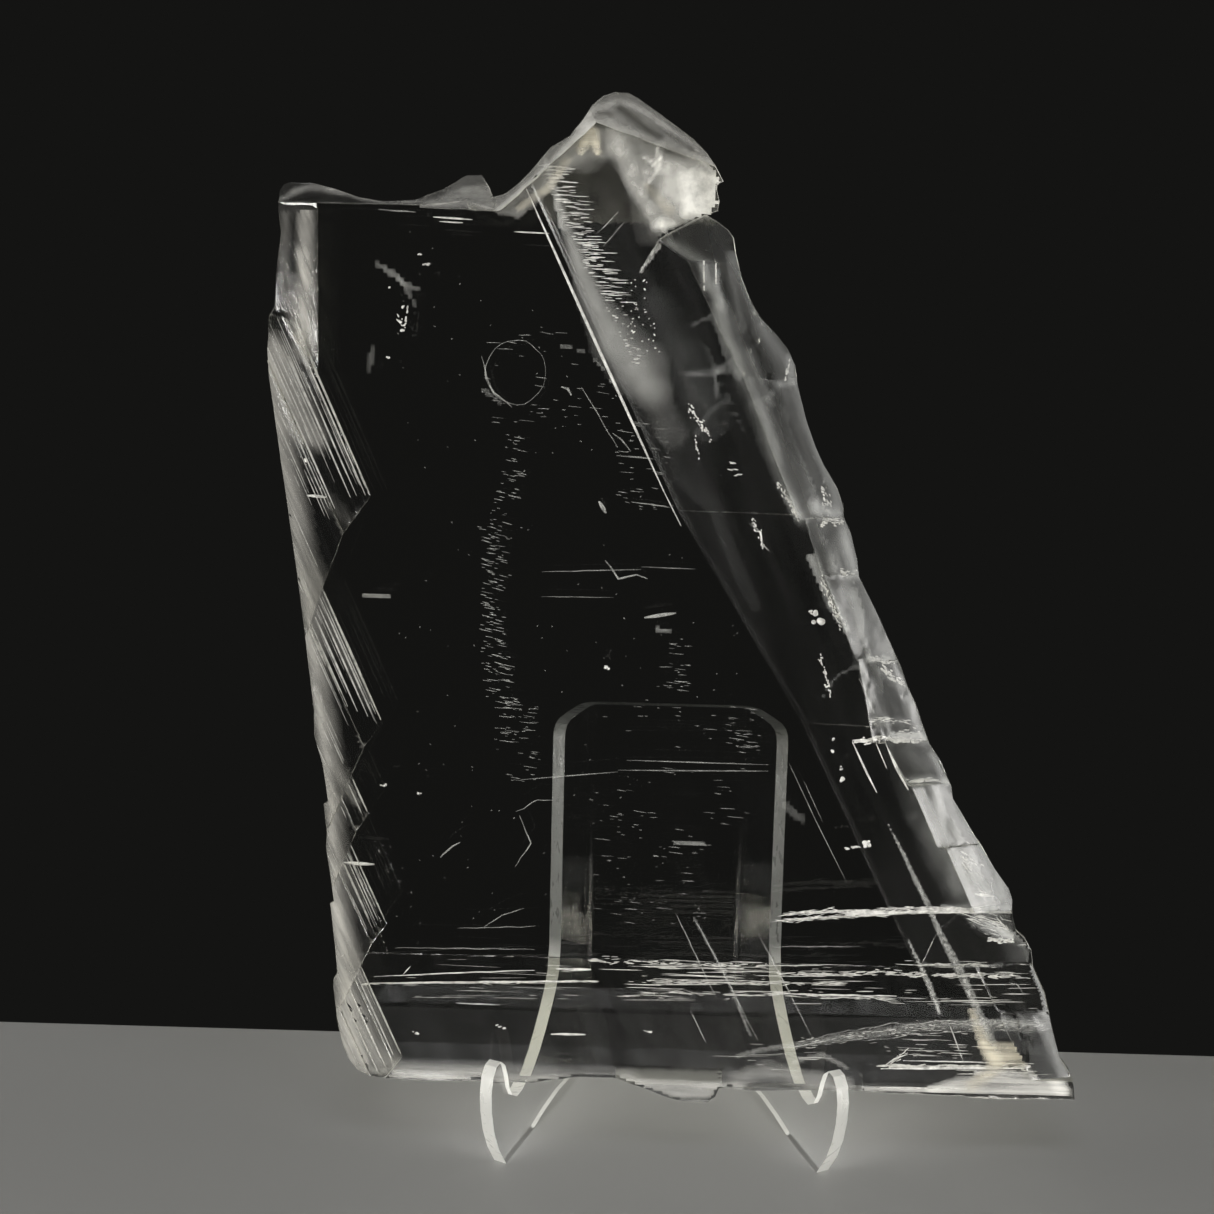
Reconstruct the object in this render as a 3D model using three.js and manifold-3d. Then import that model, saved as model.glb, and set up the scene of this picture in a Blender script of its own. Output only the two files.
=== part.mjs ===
// A cleaved slab of clear selenite resting in a folded clear acrylic stand.
// Millimetres, +Z up, seen from -Y. The origin is the middle of the base of the whole object.
import * as THREE from 'three';
import { mergeVertices } from 'three/addons/utils/BufferGeometryUtils.js';
import Module from 'manifold-3d';

const wasm = await Module();
wasm.setup();

// Stand: one sheet folded twice into a channel that leans back
const SHEET = 3.0;
const LEAN = THREE.MathUtils.degToRad(10);
const SPLAY = THREE.MathUtils.degToRad(24);
const BACK_HALF_WIDTH = 18.9;
const BEND_RADIUS = 3.5;
const STAND_HEIGHT = 93;
const REST_EDGE = 17.0;
const FOOT_TIP = 43.4;
const FOOT_KINK = 29.9;
const WING_REACH = 56.0;
const WING_CUT = 12.0;
const BELOW = 3.0;

// Crystal: how thick the slab is and where it sits in the stand
const THICKNESS = 18.0;
const SEAT_GAP = 0.3;
const SEAT_HEIGHT = 9.0;
const BACK_GROWTH = 0.058;
const GROWTH_CENTRE = [-12, 145];
const PAST = 6.0;
const FAR_LEFT = -100;
const FAR_RIGHT = 110;

// Distance forward of the back panel's middle plane to the slab's faces
const EDGE_CORNER = REST_EDGE * Math.cos(SPLAY) + (SHEET / 2) * Math.sin(SPLAY);
const SLAB_BACK = EDGE_CORNER + SEAT_GAP;
const SLAB_FRONT = SLAB_BACK + THICKNESS;

function solidFrom(geometry) {
  const bare = geometry.clone();
  bare.deleteAttribute('normal');
  bare.deleteAttribute('uv');
  const merged = mergeVertices(bare, 1e-4);
  const mesh = new wasm.Mesh({
    numProp: 3,
    vertProperties: new Float32Array(merged.attributes.position.array),
    triVerts: new Uint32Array(merged.index.array),
  });
  return new wasm.Manifold(mesh);
}

function geometryFrom(solid) {
  const mesh = solid.getMesh();
  const geometry = new THREE.BufferGeometry();
  geometry.setAttribute('position', new THREE.BufferAttribute(new Float32Array(mesh.vertProperties), 3));
  geometry.setIndex(new THREE.BufferAttribute(new Uint32Array(mesh.triVerts), 1));
  geometry.computeVertexNormals();
  return geometry;
}

function volumeOf(solid) {
  return solid.volume();
}

// Cuts that meet exactly can leave slivers of no volume beside the real piece
function largestPiece(solid) {
  return solid.decompose().reduce((best, next) => (volumeOf(next) > volumeOf(best) ? next : best));
}

function prism(points, height) {
  const shape = new THREE.Shape(points.map(([x, y]) => new THREE.Vector2(x, y)));
  return new THREE.ExtrudeGeometry(shape, { depth: height, bevelEnabled: false });
}

// Crystal outline of the front face, across and up, clockwise from the upper left corner
const OUTLINE = [
  [-87, 198], [-86, 199.5], [-84, 200.2], [-80, 200], [-75, 198.8], [-70, 197.2], [-65, 196.5], [-58, 197],
  [-52, 199.3], [-47, 202.2], [-44, 202.3], [-42, 199.5], [-41.5, 197.8], [-39, 198.6], [-36, 201], [-34, 203],
  [-31, 206.5], [-29.5, 208.3], [-25.5, 210.7], [-23, 214], [-21, 217], [-18.5, 219], [-16.5, 219.7],
  [-13.5, 219.6], [-11, 218.5], [-5, 214.5], [0.5, 210.8], [3.5, 208], [5.5, 205.3], [7.3, 202], [6, 201.5],
  [5.9, 200.4], [6.6, 198], [6.2, 196], [4, 195], [6, 194], [8.5, 192.3], [9.8, 190.5], [10.5, 187],
  [12, 182], [14, 177.5], [16, 174.3], [20, 170.2], [22.3, 167.5], [24, 164], [24.6, 160], [26.8, 152.5],
  [29, 147], [31, 143], [34, 138.5], [35.6, 134.5], [35.9, 131.8], [37.5, 128.5], [39, 122.5], [39.5, 119],
  [44.5, 110], [47, 105], [49.8, 99.5], [51.5, 95], [53.3, 91.5], [55, 87], [57, 82.2], [59.3, 79],
  [62.3, 72.8], [62.8, 70], [68, 61.8], [70, 59], [73, 54], [76.3, 49.5], [77.3, 47], [77.5, 43.4],
  [78.5, 40.2], [80.5, 38.5], [82.3, 35.5], [83, 31.5], [86, 25.5], [87.5, 20], [88.5, 16], [90.2, 10.3],
  [92.7, 7], [93.9, 3.6], [94.3, 0.2], [87, 0], [75, -0.3], [72, -0.7], [69, 0.3], [55, 0.3], [42, 0.9],
  [30, 0.4], [18, 0.1], [15.2, 0.7], [13, 0.5], [12.3, -1.6], [10.5, -3.2], [5, -3], [0, -1.9], [-5, 0.1],
  [-10.5, 2.2], [-21, 1.9], [-30, 0.5], [-40, 0.5], [-55, 0.2], [-67, 0.7], [-70.2, 2.2], [-72.3, 5],
  [-73.8, 9], [-75, 15], [-75.8, 22], [-75.7, 24], [-74.9, 25.3], [-75.3, 31], [-76.5, 41.8], [-75.6, 42.3],
  [-76.7, 50], [-77.4, 55], [-77.2, 58], [-77.9, 64.8], [-76.9, 65.4], [-78.2, 74], [-80, 80.5], [-80, 86],
  [-81.3, 97], [-83.3, 114], [-85.3, 129], [-87.6, 145], [-89.5, 159], [-89.8, 165], [-89.4, 172],
  [-88.2, 174], [-87.6, 183], [-86.7, 189.5], [-87.3, 194],
];

// The slab before breakage: its walls flare a little towards the back
function wholeSlab() {
  const geometry = prism(OUTLINE, THICKNESS);
  const position = geometry.attributes.position;
  for (let i = 0; i < position.count; i += 1) {
    const back = position.getZ(i) < THICKNESS / 2;
    const grow = back ? 1 + BACK_GROWTH : 1;
    position.setX(i, GROWTH_CENTRE[0] + (position.getX(i) - GROWTH_CENTRE[0]) * grow);
    position.setY(i, GROWTH_CENTRE[1] + (position.getY(i) - GROWTH_CENTRE[1]) * grow);
    position.setZ(i, position.getZ(i) - THICKNESS);
  }
  return solidFrom(geometry);
}

// Waste above a tilted plane. The plane leaves the face at depth `drop` along the hinge line and
// goes deeper by `slope` for each millimetre to the left of the hinge's direction.
function chip(region, hinge, drop, slope, fromBack = false) {
  const [[ax, ay], [bx, by]] = hinge;
  const length = Math.hypot(bx - ax, by - ay);
  const out = [-(by - ay) / length, (bx - ax) / length];
  const geometry = prism(region, 1);
  const position = geometry.attributes.position;
  for (let i = 0; i < position.count; i += 1) {
    const away = (position.getX(i) - ax) * out[0] + (position.getY(i) - ay) * out[1];
    const depth = drop + slope * away;
    const upper = position.getZ(i) > 0.5;
    if (fromBack) {
      position.setZ(i, upper ? -THICKNESS + depth : -THICKNESS - PAST);
    } else {
      position.setZ(i, upper ? PAST : -depth);
    }
  }
  return solidFrom(geometry);
}

// Waste with one section, given as depth behind the front face and height, carried across the slab
function trough(section, from, to) {
  const geometry = prism(section, to - from);
  geometry.rotateY(Math.PI / 2);
  geometry.translate(from, 0, 0);
  return solidFrom(geometry);
}

// Left margin: striated bevels that each start at the edge, widen downwards and end in a low ledge.
// The treads step down from the front face to a flatter outer facet, which runs out down the edge.
const GRAIN = THREE.MathUtils.degToRad(66);
const ALONG = [Math.cos(GRAIN), -Math.sin(GRAIN)];
const ACROSS = [-Math.sin(GRAIN), -Math.cos(GRAIN)];
const LEDGE = [-0.58, -0.81];
const LEDGE_ACROSS = LEDGE[0] * ACROSS[0] + LEDGE[1] * ACROSS[1];
const TREADS = 4;
const TREAD_SLOPE = 0.2;
const OUTER_SLOPE = 0.24;
const RUN_OUT = 70;
const OVERLAP = 0.1;
const SAWTEETH = [
  { foot: [-67.5, 134.3], length: 44, width: 9, drop: 1.8 },
  { foot: [-64.8, 84], length: 62, width: 6, drop: 1.2 },
  { foot: [-67.8, 63], length: 28, width: 4, drop: 0.9 },
  { foot: [-63.7, 37.5], length: 32, width: 5, drop: 1.1 },
  { foot: [-60, 6], length: 41, width: 9, drop: 1.6 },
];

function sawtooth({ foot, length, width, drop }) {
  const head = [foot[0] - ALONG[0] * length, foot[1] - ALONG[1] * length];
  const headAt = (offset) => [head[0] + ACROSS[0] * offset, head[1] + ACROSS[1] * offset];
  const footAt = (offset) => {
    const run = offset / LEDGE_ACROSS;
    return [foot[0] + LEDGE[0] * run, foot[1] + LEDGE[1] * run];
  };
  const cuts = [];
  const tread = width / TREADS;
  for (let i = 0; i < TREADS; i += 1) {
    const near = i * tread;
    const far = near + tread + OVERLAP;
    const region = [headAt(near), footAt(near), footAt(far), headAt(far)];
    const depth = (drop * (i + 0.5)) / TREADS;
    cuts.push(chip(region, [footAt(near), headAt(near)], depth, TREAD_SLOPE));
  }
  const end = footAt(width);
  const outer = [headAt(width), end, [FAR_LEFT, end[1] - RUN_OUT], [FAR_LEFT, head[1]]];
  cuts.push(chip(outer, [end, headAt(width)], drop, OUTER_SLOPE));
  return cuts;
}

// Upper left: the frosted bevel, and the two fractures that leave the front edge of the top low
function upperLeft() {
  return [
    chip([[-79, 210], [FAR_LEFT, 210], [FAR_LEFT, 176], [-86, 172], [-79, 160]], [[-79, 160], [-79, 210]], 0.4, 0.45),
    trough([[-1, 196.1], [0, 196.1], [4, 196.6], [9, 197.8], [14, 200], [19, 204], [19, 225], [-1, 225]],
      FAR_LEFT, -57),
    trough([[-1, 195.2], [0, 195.4], [7, 198.8], [19, 206.4], [19, 225], [-1, 225]], -57, -41.2),
  ];
}

// Top cap: the facets that shed its front corners, and the shallow hollow in its middle
function cap() {
  return [
    chip([[-28, 213.5], [-20, 213.8], [8, 204.5], [20, 212], [-5, 235], [-40, 230]], [[-20, 213.8], [8, 204.5]],
      0.15, 0.95),
    chip([[-40, 195.3], [-20, 213.8], [-28, 240], [-60, 215], [-46, 195.3]], [[-40, 195.3], [-20, 213.8]], 0.15, 0.7),
    chip([[-24, 206], [-19, 189], [-9, 186], [-7.5, 196], [-13, 207]], [[-19, 189], [-24, 206]], 0, 0.15),
  ];
}

// Right margin: a shoulder under the cap, then bevels that end in ledges one below another
const RIGHT_BEVELS = [
  { top: 188, bottom: 161.5, from: -1, to: 13, drop: 1.0, slope: 0.26 },
  { top: 161.5, bottom: 131.4, from: 13, to: 26, drop: 0.3, slope: 0.34 },
  { top: 131.4, bottom: 119.3, from: 27.5, to: 31.5, drop: 1.3, slope: 0.3 },
  { top: 119.3, bottom: 100.6, from: 32, to: 40, drop: 0.5, slope: 0.36 },
  { top: 100.6, bottom: 82.3, from: 40.5, to: 44.5, drop: 0.9, slope: 0.26 },
  { top: 82.3, bottom: 72.8, from: 47.5, to: 53, drop: 2.3, slope: 0.1 },
  { top: 72.8, bottom: 59, from: 53.5, to: 60, drop: 0.05, slope: 0.38 },
  { top: 59, bottom: 43.6, from: 62, to: 69, drop: 0.05, slope: 0.4 },
];

function rightMargin() {
  const shoulder = [[-6, 190], [3.5, 195.1], [FAR_RIGHT, 195.1], [FAR_RIGHT, 186], [0, 186]];
  const bevels = RIGHT_BEVELS.map(({ top, bottom, from, to, drop, slope }) => {
    const region = [[from, top], [to, bottom], [FAR_RIGHT, bottom], [FAR_RIGHT, top]];
    return chip(region, [[from, top], [to, bottom]], drop, slope);
  });
  return [chip(shoulder, [[-6, 190], [0, 186]], 3.4, 0.05), ...bevels];
}

// Lower right: the long step that tapers out to the left, the lump under it and the bands below
function lowerRight() {
  return [
    chip([[24, 40.2], [50, 42.6], [66, 43.6], [FAR_RIGHT, 43.6], [FAR_RIGHT, -10], [24, -10]],
      [[24, -10], [24, 40]], 0, -0.022),
    chip([[66, 43.6], [70, 39.5], [75, 37], [79, 36], [FAR_RIGHT, 36], [FAR_RIGHT, 31], [58, 31], [62, 40]],
      [[58, 31], [62, 40]], 0.9, -0.035),
    chip([[70, 31], [76.5, 19.5], [FAR_RIGHT, 19.5], [FAR_RIGHT, 31]], [[70, 31], [76.5, 19.5]], 1.15, 0.18),
    chip([[76.5, 19.5], [84.5, 4], [FAR_RIGHT, 4], [FAR_RIGHT, 19.5]], [[76.5, 19.5], [84.5, 4]], 1.3, 0.3),
  ];
}

// Underside: broken back along the curve of the stand's hooks
const SEAT_CURVE = [
  [3.7, 0.9], [6.4, 3.5], [9.2, 6.9], [11.7, 10.9], [14.1, 15.1], [16.3, 19.5], [17.6, 24], [19, 32],
];

function underside() {
  const below = [[19, -40], [-2, -40]];
  const plain = [[-2, 0.1], [2, 0.1], ...SEAT_CURVE, ...below];
  const lobe = [[-2, -4], [2.4, -3.4], [5.2, -0.5], ...SEAT_CURVE.slice(1), ...below];
  const right = [[-2, -1], [2, -0.8], [4.6, 1.4], ...SEAT_CURVE.slice(1), ...below];
  const left = [[-2, -1], [1.5, -0.2], [4.4, 1.6], ...SEAT_CURVE.slice(1), ...below];
  return [
    trough(left, FAR_LEFT, -46),
    trough(plain, -46, -11),
    trough(lobe, -11, 14),
    trough(plain, 14, 46),
    trough(right, 46, FAR_RIGHT),
  ];
}

// Back: one broad bevel in three runs beside the right edge
function backFace() {
  return [
    chip([[-36, 206], [0, 132], [90, 132], [90, 240], [-36, 240]], [[-36, 206], [0, 132]], 0, 0.19, true),
    chip([[0, 132], [30, 84], [FAR_RIGHT, 84], [FAR_RIGHT, 132]], [[0, 132], [30, 84]], 0, 0.2, true),
    chip([[30, 84], [57, 30], [64, 6], [FAR_RIGHT, 6], [FAR_RIGHT, 84]], [[30, 84], [57, 30]], 0, 0.17, true),
  ];
}

function crystalSolid() {
  const waste = [
    ...SAWTEETH.flatMap(sawtooth),
    ...upperLeft(),
    ...cap(),
    ...rightMargin(),
    ...lowerRight(),
    ...underside(),
    ...backFace(),
  ];
  const broken = waste.reduce((rest, cut) => rest.subtract(cut), wholeSlab());
  return largestPiece(broken);
}

// Stand section, seen along the folds, with its two bends as arcs
function sheetSection() {
  const turn = Math.PI / 2 - SPLAY;
  const setback = BEND_RADIUS * Math.tan(turn / 2);
  const wing = [Math.sin(SPLAY), Math.cos(SPLAY)];
  const middle = [];
  const steps = 5;
  for (let i = 0; i <= steps; i += 1) {
    const angle = (turn * i) / steps;
    const x = BACK_HALF_WIDTH - setback + BEND_RADIUS * Math.sin(angle);
    const y = BEND_RADIUS * (1 - Math.cos(angle));
    middle.push({ x, y, nx: Math.sin(angle), ny: -Math.cos(angle) });
  }
  middle.push({
    x: BACK_HALF_WIDTH + wing[0] * WING_REACH,
    y: wing[1] * WING_REACH,
    nx: Math.cos(SPLAY),
    ny: -Math.sin(SPLAY),
  });
  const outer = middle.map(({ x, y, nx, ny }) => [x + (nx * SHEET) / 2, y + (ny * SHEET) / 2]);
  const inner = middle.map(({ x, y, nx, ny }) => [x - (nx * SHEET) / 2, y - (ny * SHEET) / 2]);
  const mirrored = (points) => points.map(([x, y]) => [-x, y]);
  return [...mirrored(outer).reverse(), ...outer, ...[...inner].reverse(), ...mirrored(inner)];
}

// Wing profile: forward along the wing from the fold, and up along the fold
function wingProfile() {
  const table = (p) => -p * Math.cos(SPLAY) * Math.tan(LEAN);
  return [
    [-8, STAND_HEIGHT], [4, STAND_HEIGHT], [10, STAND_HEIGHT - 0.7], [14, STAND_HEIGHT - 1.4],
    [15.8, STAND_HEIGHT - 2.3], [16.7, STAND_HEIGHT - 3.6], [REST_EDGE, STAND_HEIGHT - 5.4], [REST_EDGE, 38],
    [17.6, 32], [19.2, 27.8],
    [21.6, 23.5], [24.2, 19.3], [27, 15.3], [30, 12], [33, 9.2], [36, 7.4], [38.6, 6.9], [40.8, 8.2], [42.2, 10.6],
    [43.2, 14], [44.4, 16.8], [46.3, 18.4], [48.3, 18], [49.8, 16], [50.5, 12.4], [50.2, 8], [49, 3],
    [46.8, -2], [FOOT_TIP, table(FOOT_TIP)], [FOOT_TIP - 1, table(FOOT_TIP) - BELOW],
    [FOOT_KINK, table(FOOT_KINK) - BELOW], [FOOT_KINK, table(FOOT_KINK)], [24, table(24) + 1.1],
    [17, table(17) + 1.7], [10, table(10) + 1.2], [4, table(4)], [4, table(4) - BELOW], [-8, table(-8) - BELOW],
  ];
}

function wingPrism(side) {
  const geometry = prism(wingProfile(), WING_CUT);
  geometry.translate(0, 0, -WING_CUT / 2);
  const along = new THREE.Vector3(side * Math.sin(SPLAY), 0, Math.cos(SPLAY));
  const up = new THREE.Vector3(0, 1, 0);
  const thick = new THREE.Vector3().crossVectors(along, up);
  const place = new THREE.Matrix4().makeBasis(along, up, thick);
  place.setPosition(side * BACK_HALF_WIDTH, 0, 0);
  geometry.applyMatrix4(place);
  return solidFrom(geometry);
}

function backPrism() {
  const half = BACK_HALF_WIDTH - SHEET;
  const geometry = prism([[-half, -BELOW], [half, -BELOW], [half, STAND_HEIGHT], [-half, STAND_HEIGHT]], WING_CUT);
  geometry.translate(0, 0, -WING_CUT / 2);
  return solidFrom(geometry);
}

function belowTable() {
  const height = 60;
  const geometry = new THREE.BoxGeometry(200, height, 200);
  geometry.translate(0, -height / 2, 0);
  geometry.rotateX(LEAN);
  return solidFrom(geometry);
}

function standSolid() {
  const length = STAND_HEIGHT + 40;
  const sheet = prism(sheetSection(), length);
  sheet.rotateX(Math.PI / 2);
  sheet.translate(0, STAND_HEIGHT + 10, 0);
  const cut = wingPrism(-1).add(wingPrism(1)).add(backPrism());
  return solidFrom(sheet).intersect(cut).subtract(belowTable());
}

const acrylic = new THREE.MeshStandardMaterial({ color: 0xe9ecec, roughness: 0.06, metalness: 0 });
const selenite = new THREE.MeshStandardMaterial({ color: 0xd9d8d2, roughness: 0.18, metalness: 0 });

// Both pieces share a frame that leans back: x across, y up along the folds, z forward
const leaning = new THREE.Group();
leaning.rotation.x = Math.PI / 2 - LEAN;

const crystal = new THREE.Mesh(geometryFrom(crystalSolid()), selenite);
crystal.name = 'selenite_crystal';
crystal.position.set(0, SEAT_HEIGHT, SLAB_FRONT);
leaning.add(crystal);

const stand = new THREE.Mesh(geometryFrom(standSolid()), acrylic);
stand.name = 'acrylic_stand';
leaning.add(stand);

const part = new THREE.Group();
part.add(leaning);
part.updateMatrixWorld(true);
const reach = new THREE.Box3().setFromObject(part, true);
leaning.position.set(-(reach.min.x + reach.max.x) / 2, -(reach.min.y + reach.max.y) / 2, -reach.min.z);

export default part;
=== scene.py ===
import math

import bmesh
import bpy
import numpy as np
from mathutils import Matrix, Vector, noise
from mathutils.bvhtree import BVHTree


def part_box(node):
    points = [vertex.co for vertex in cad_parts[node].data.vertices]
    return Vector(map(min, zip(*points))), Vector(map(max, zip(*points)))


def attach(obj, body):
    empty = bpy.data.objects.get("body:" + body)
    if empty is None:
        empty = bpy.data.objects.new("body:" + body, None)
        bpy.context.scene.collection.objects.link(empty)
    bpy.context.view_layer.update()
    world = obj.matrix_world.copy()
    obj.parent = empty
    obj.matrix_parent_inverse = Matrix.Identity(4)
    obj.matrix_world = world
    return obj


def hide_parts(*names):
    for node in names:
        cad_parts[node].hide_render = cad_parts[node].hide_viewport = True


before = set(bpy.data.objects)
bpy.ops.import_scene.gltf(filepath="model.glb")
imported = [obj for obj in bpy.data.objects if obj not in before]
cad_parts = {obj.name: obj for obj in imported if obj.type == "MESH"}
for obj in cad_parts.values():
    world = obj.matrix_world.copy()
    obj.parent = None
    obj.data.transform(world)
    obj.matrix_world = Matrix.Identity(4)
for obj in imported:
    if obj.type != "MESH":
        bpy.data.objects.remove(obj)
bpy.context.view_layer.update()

MM = 0.001
SEED = 41

# Sizes shared with the solids, in millimetres
LEAN = math.radians(10)
SPLAY = math.radians(24)
SHEET = 3.0
REST_EDGE = 17.0
STAND_HEIGHT = 93.0
THICKNESS = 18.0
SEAT_GAP = 0.3
SEAT_HEIGHT = 9.0
SLAB_FRONT = REST_EDGE * math.cos(SPLAY) + SHEET / 2 * math.sin(SPLAY) + SEAT_GAP + THICKNESS

ACROSS = Vector((1, 0, 0))
UP_FACE = Vector((0, math.sin(LEAN), math.cos(LEAN)))
OUT_FACE = Vector((0, -math.cos(LEAN), math.sin(LEAN)))

# The foot of the stand's back panel, worked out from the stand's box
stand_low, stand_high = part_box("acrylic_stand")
FOLD = Vector((
    (stand_low.x + stand_high.x) / 2,
    stand_high.y - (STAND_HEIGHT * math.sin(LEAN) + SHEET / 2 * math.cos(LEAN)) * MM,
    0.0,
))


def slab_matrix():
    """Carries (across, up the face, out of the face) in millimetres into the frame in metres."""
    origin = FOLD + (SEAT_HEIGHT * UP_FACE + SLAB_FRONT * OUT_FACE) * MM
    turn = Matrix((ACROSS, UP_FACE, OUT_FACE)).transposed() * MM
    return Matrix.Translation(origin) @ turn.to_4x4()


SLAB = slab_matrix()
SLAB_INVERSE = SLAB.inverted()

# The crystal's grain runs down to the right, steeply
GRAIN = math.radians(66)
GRAIN_ALONG = np.array((math.cos(GRAIN), -math.sin(GRAIN)))
GRAIN_ACROSS = np.array((-math.sin(GRAIN), -math.cos(GRAIN)))


# Pieces

def link(mesh, name):
    piece = bpy.data.objects.new(name, mesh)
    bpy.context.scene.collection.objects.link(piece)
    return piece


def settle(mesh, name, material):
    """Carries a mesh in slab millimetres into the frame and hands the piece over."""
    mesh.transform(SLAB)
    mesh.materials.clear()
    mesh.materials.append(material)
    piece = link(mesh, name)
    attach(piece, "root")


# Shader helpers

def new_material(name):
    material = bpy.data.materials.new(name)
    material.use_nodes = True
    tree = material.node_tree
    return material, tree, tree.nodes["Principled BSDF"]


def lets_lamps_through(tree, shader):
    """Lamps reach what is inside: a shadow ray passes the surface unbent."""
    path = tree.nodes.new("ShaderNodeLightPath")
    clear = tree.nodes.new("ShaderNodeBsdfTransparent")
    mix = tree.nodes.new("ShaderNodeMixShader")
    tree.links.new(path.outputs["Is Shadow Ray"], mix.inputs[0])
    tree.links.new(shader.outputs[0], mix.inputs[1])
    tree.links.new(clear.outputs[0], mix.inputs[2])
    tree.links.new(mix.outputs[0], tree.nodes["Material Output"].inputs["Surface"])


def absorbs(tree, colour, density):
    volume = tree.nodes.new("ShaderNodeVolumeAbsorption")
    volume.inputs["Color"].default_value = tuple(colour) + (1,)
    volume.inputs["Density"].default_value = density
    tree.links.new(volume.outputs[0], tree.nodes["Material Output"].inputs["Volume"])


def slab_grain():
    """Noise laid flat on the slab: x across, z up the face, turned about its normal and stretched."""
    tree = bpy.data.node_groups.new("slab_grain", "ShaderNodeTree")
    sockets = (
        ("Turn", "NodeSocketFloat"), ("Stretch", "NodeSocketVector"), ("Detail", "NodeSocketFloat"),
        ("Roughness", "NodeSocketFloat"), ("Low", "NodeSocketFloat"), ("High", "NodeSocketFloat"),
        ("Value at Low", "NodeSocketFloat"), ("Value at High", "NodeSocketFloat"),
    )
    for name, kind in sockets:
        tree.interface.new_socket(name, in_out="INPUT", socket_type=kind)
    tree.interface.new_socket("Value", in_out="OUTPUT", socket_type="NodeSocketFloat")
    nodes, links = tree.nodes, tree.links
    start = nodes.new("NodeGroupInput")
    end = nodes.new("NodeGroupOutput")
    coordinates = nodes.new("ShaderNodeTexCoord")
    lean = nodes.new("ShaderNodeMapping")
    lean.inputs["Rotation"].default_value = (LEAN, 0, 0)
    angles = nodes.new("ShaderNodeCombineXYZ")
    spin = nodes.new("ShaderNodeMapping")
    stretch = nodes.new("ShaderNodeMapping")
    texture = nodes.new("ShaderNodeTexNoise")
    texture.inputs["Scale"].default_value = 1.0
    spread = nodes.new("ShaderNodeMapRange")
    links.new(coordinates.outputs["Object"], lean.inputs["Vector"])
    links.new(start.outputs["Turn"], angles.inputs["Y"])
    links.new(lean.outputs["Vector"], spin.inputs["Vector"])
    links.new(angles.outputs["Vector"], spin.inputs["Rotation"])
    links.new(spin.outputs["Vector"], stretch.inputs["Vector"])
    links.new(start.outputs["Stretch"], stretch.inputs["Scale"])
    links.new(stretch.outputs["Vector"], texture.inputs["Vector"])
    links.new(start.outputs["Detail"], texture.inputs["Detail"])
    links.new(start.outputs["Roughness"], texture.inputs["Roughness"])
    links.new(texture.outputs["Fac"], spread.inputs["Value"])
    for name, socket in (
        ("Low", "From Min"), ("High", "From Max"), ("Value at Low", "To Min"), ("Value at High", "To Max"),
    ):
        links.new(start.outputs[name], spread.inputs[socket])
    links.new(spread.outputs["Result"], end.inputs["Value"])
    return tree


SLAB_GRAIN = slab_grain()


def grain(tree, stretch, turn=0.0, detail=3.0, roughness=0.55, limits=(0.0, 1.0), values=(0.0, 1.0)):
    """The shared grain with this material's own values; limits of the noise are carried to the two values."""
    node = tree.nodes.new("ShaderNodeGroup")
    node.node_tree = SLAB_GRAIN
    settings = {
        "Turn": turn, "Stretch": stretch, "Detail": detail, "Roughness": roughness,
        "Low": limits[0], "High": limits[1], "Value at Low": values[0], "Value at High": values[1],
    }
    for name, value in settings.items():
        node.inputs[name].default_value = value
    return node.outputs["Value"]


def multiply(tree, a, b):
    node = tree.nodes.new("ShaderNodeMath")
    node.operation = "MULTIPLY"
    node.use_clamp = True
    for socket, value in zip(node.inputs, (a, b)):
        if isinstance(value, float):
            socket.default_value = value
        else:
            tree.links.new(value, socket)
    return node.outputs[0]


def bump(tree, shader, height, strength, distance):
    node = tree.nodes.new("ShaderNodeBump")
    node.inputs["Strength"].default_value = strength
    node.inputs["Distance"].default_value = distance
    tree.links.new(height, node.inputs["Height"])
    tree.links.new(node.outputs["Normal"], shader.inputs["Normal"])


# Grains of the veils, as noise scales across, through and up the slab, with the turn of the grain
GRAINS = {
    "cloud": ((170, 170, 170), 0.0),
    "frost": ((700, 700, 700), 0.0),
    "threads": ((1500, 300, 38), math.radians(24)),
    "silk": ((620, 300, 46), math.radians(24)),
    "folds": ((210, 120, 26), math.radians(24)),
    "level": ((45, 200, 900), 0.0),
    "specks": ((1300, 1300, 1300), 0.0),
}
SELENITE_IOR = 1.52
SELENITE_TINT = (0.87, 0.87, 0.85)
SELENITE_DENSITY = 6.0
RELIEF_DEPTH = 0.0004


def selenite(name, colour):
    """See-through gypsum, faintly grey through its thickness."""
    material, tree, shader = new_material(name)
    shader.inputs["Base Color"].default_value = colour + (1,)
    shader.inputs["IOR"].default_value = SELENITE_IOR
    shader.inputs["Transmission Weight"].default_value = 1.0
    lets_lamps_through(tree, shader)
    absorbs(tree, SELENITE_TINT, SELENITE_DENSITY)
    return material, tree, shader


def clear_selenite():
    material, tree, shader = selenite("clear_selenite", (0.975, 0.975, 0.965))
    smear = grain(tree, (60, 60, 220), limits=(0.35, 0.8), values=(0.0, 0.05))
    tree.links.new(smear, shader.inputs["Roughness"])
    return material


def broken_selenite(name, roughness, pattern, relief):
    """A broken face: clear like the rest, but it blurs what is seen through it."""
    material, tree, shader = selenite(name, (0.97, 0.97, 0.955))
    stretch, turn = GRAINS[pattern]
    frosting = grain(tree, stretch, turn, limits=(0.3, 0.7), values=(roughness * 0.6, roughness * 1.4))
    tree.links.new(frosting, shader.inputs["Roughness"])
    if relief:
        bump(tree, shader, grain(tree, stretch, turn), relief, RELIEF_DEPTH)
    return material


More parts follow.
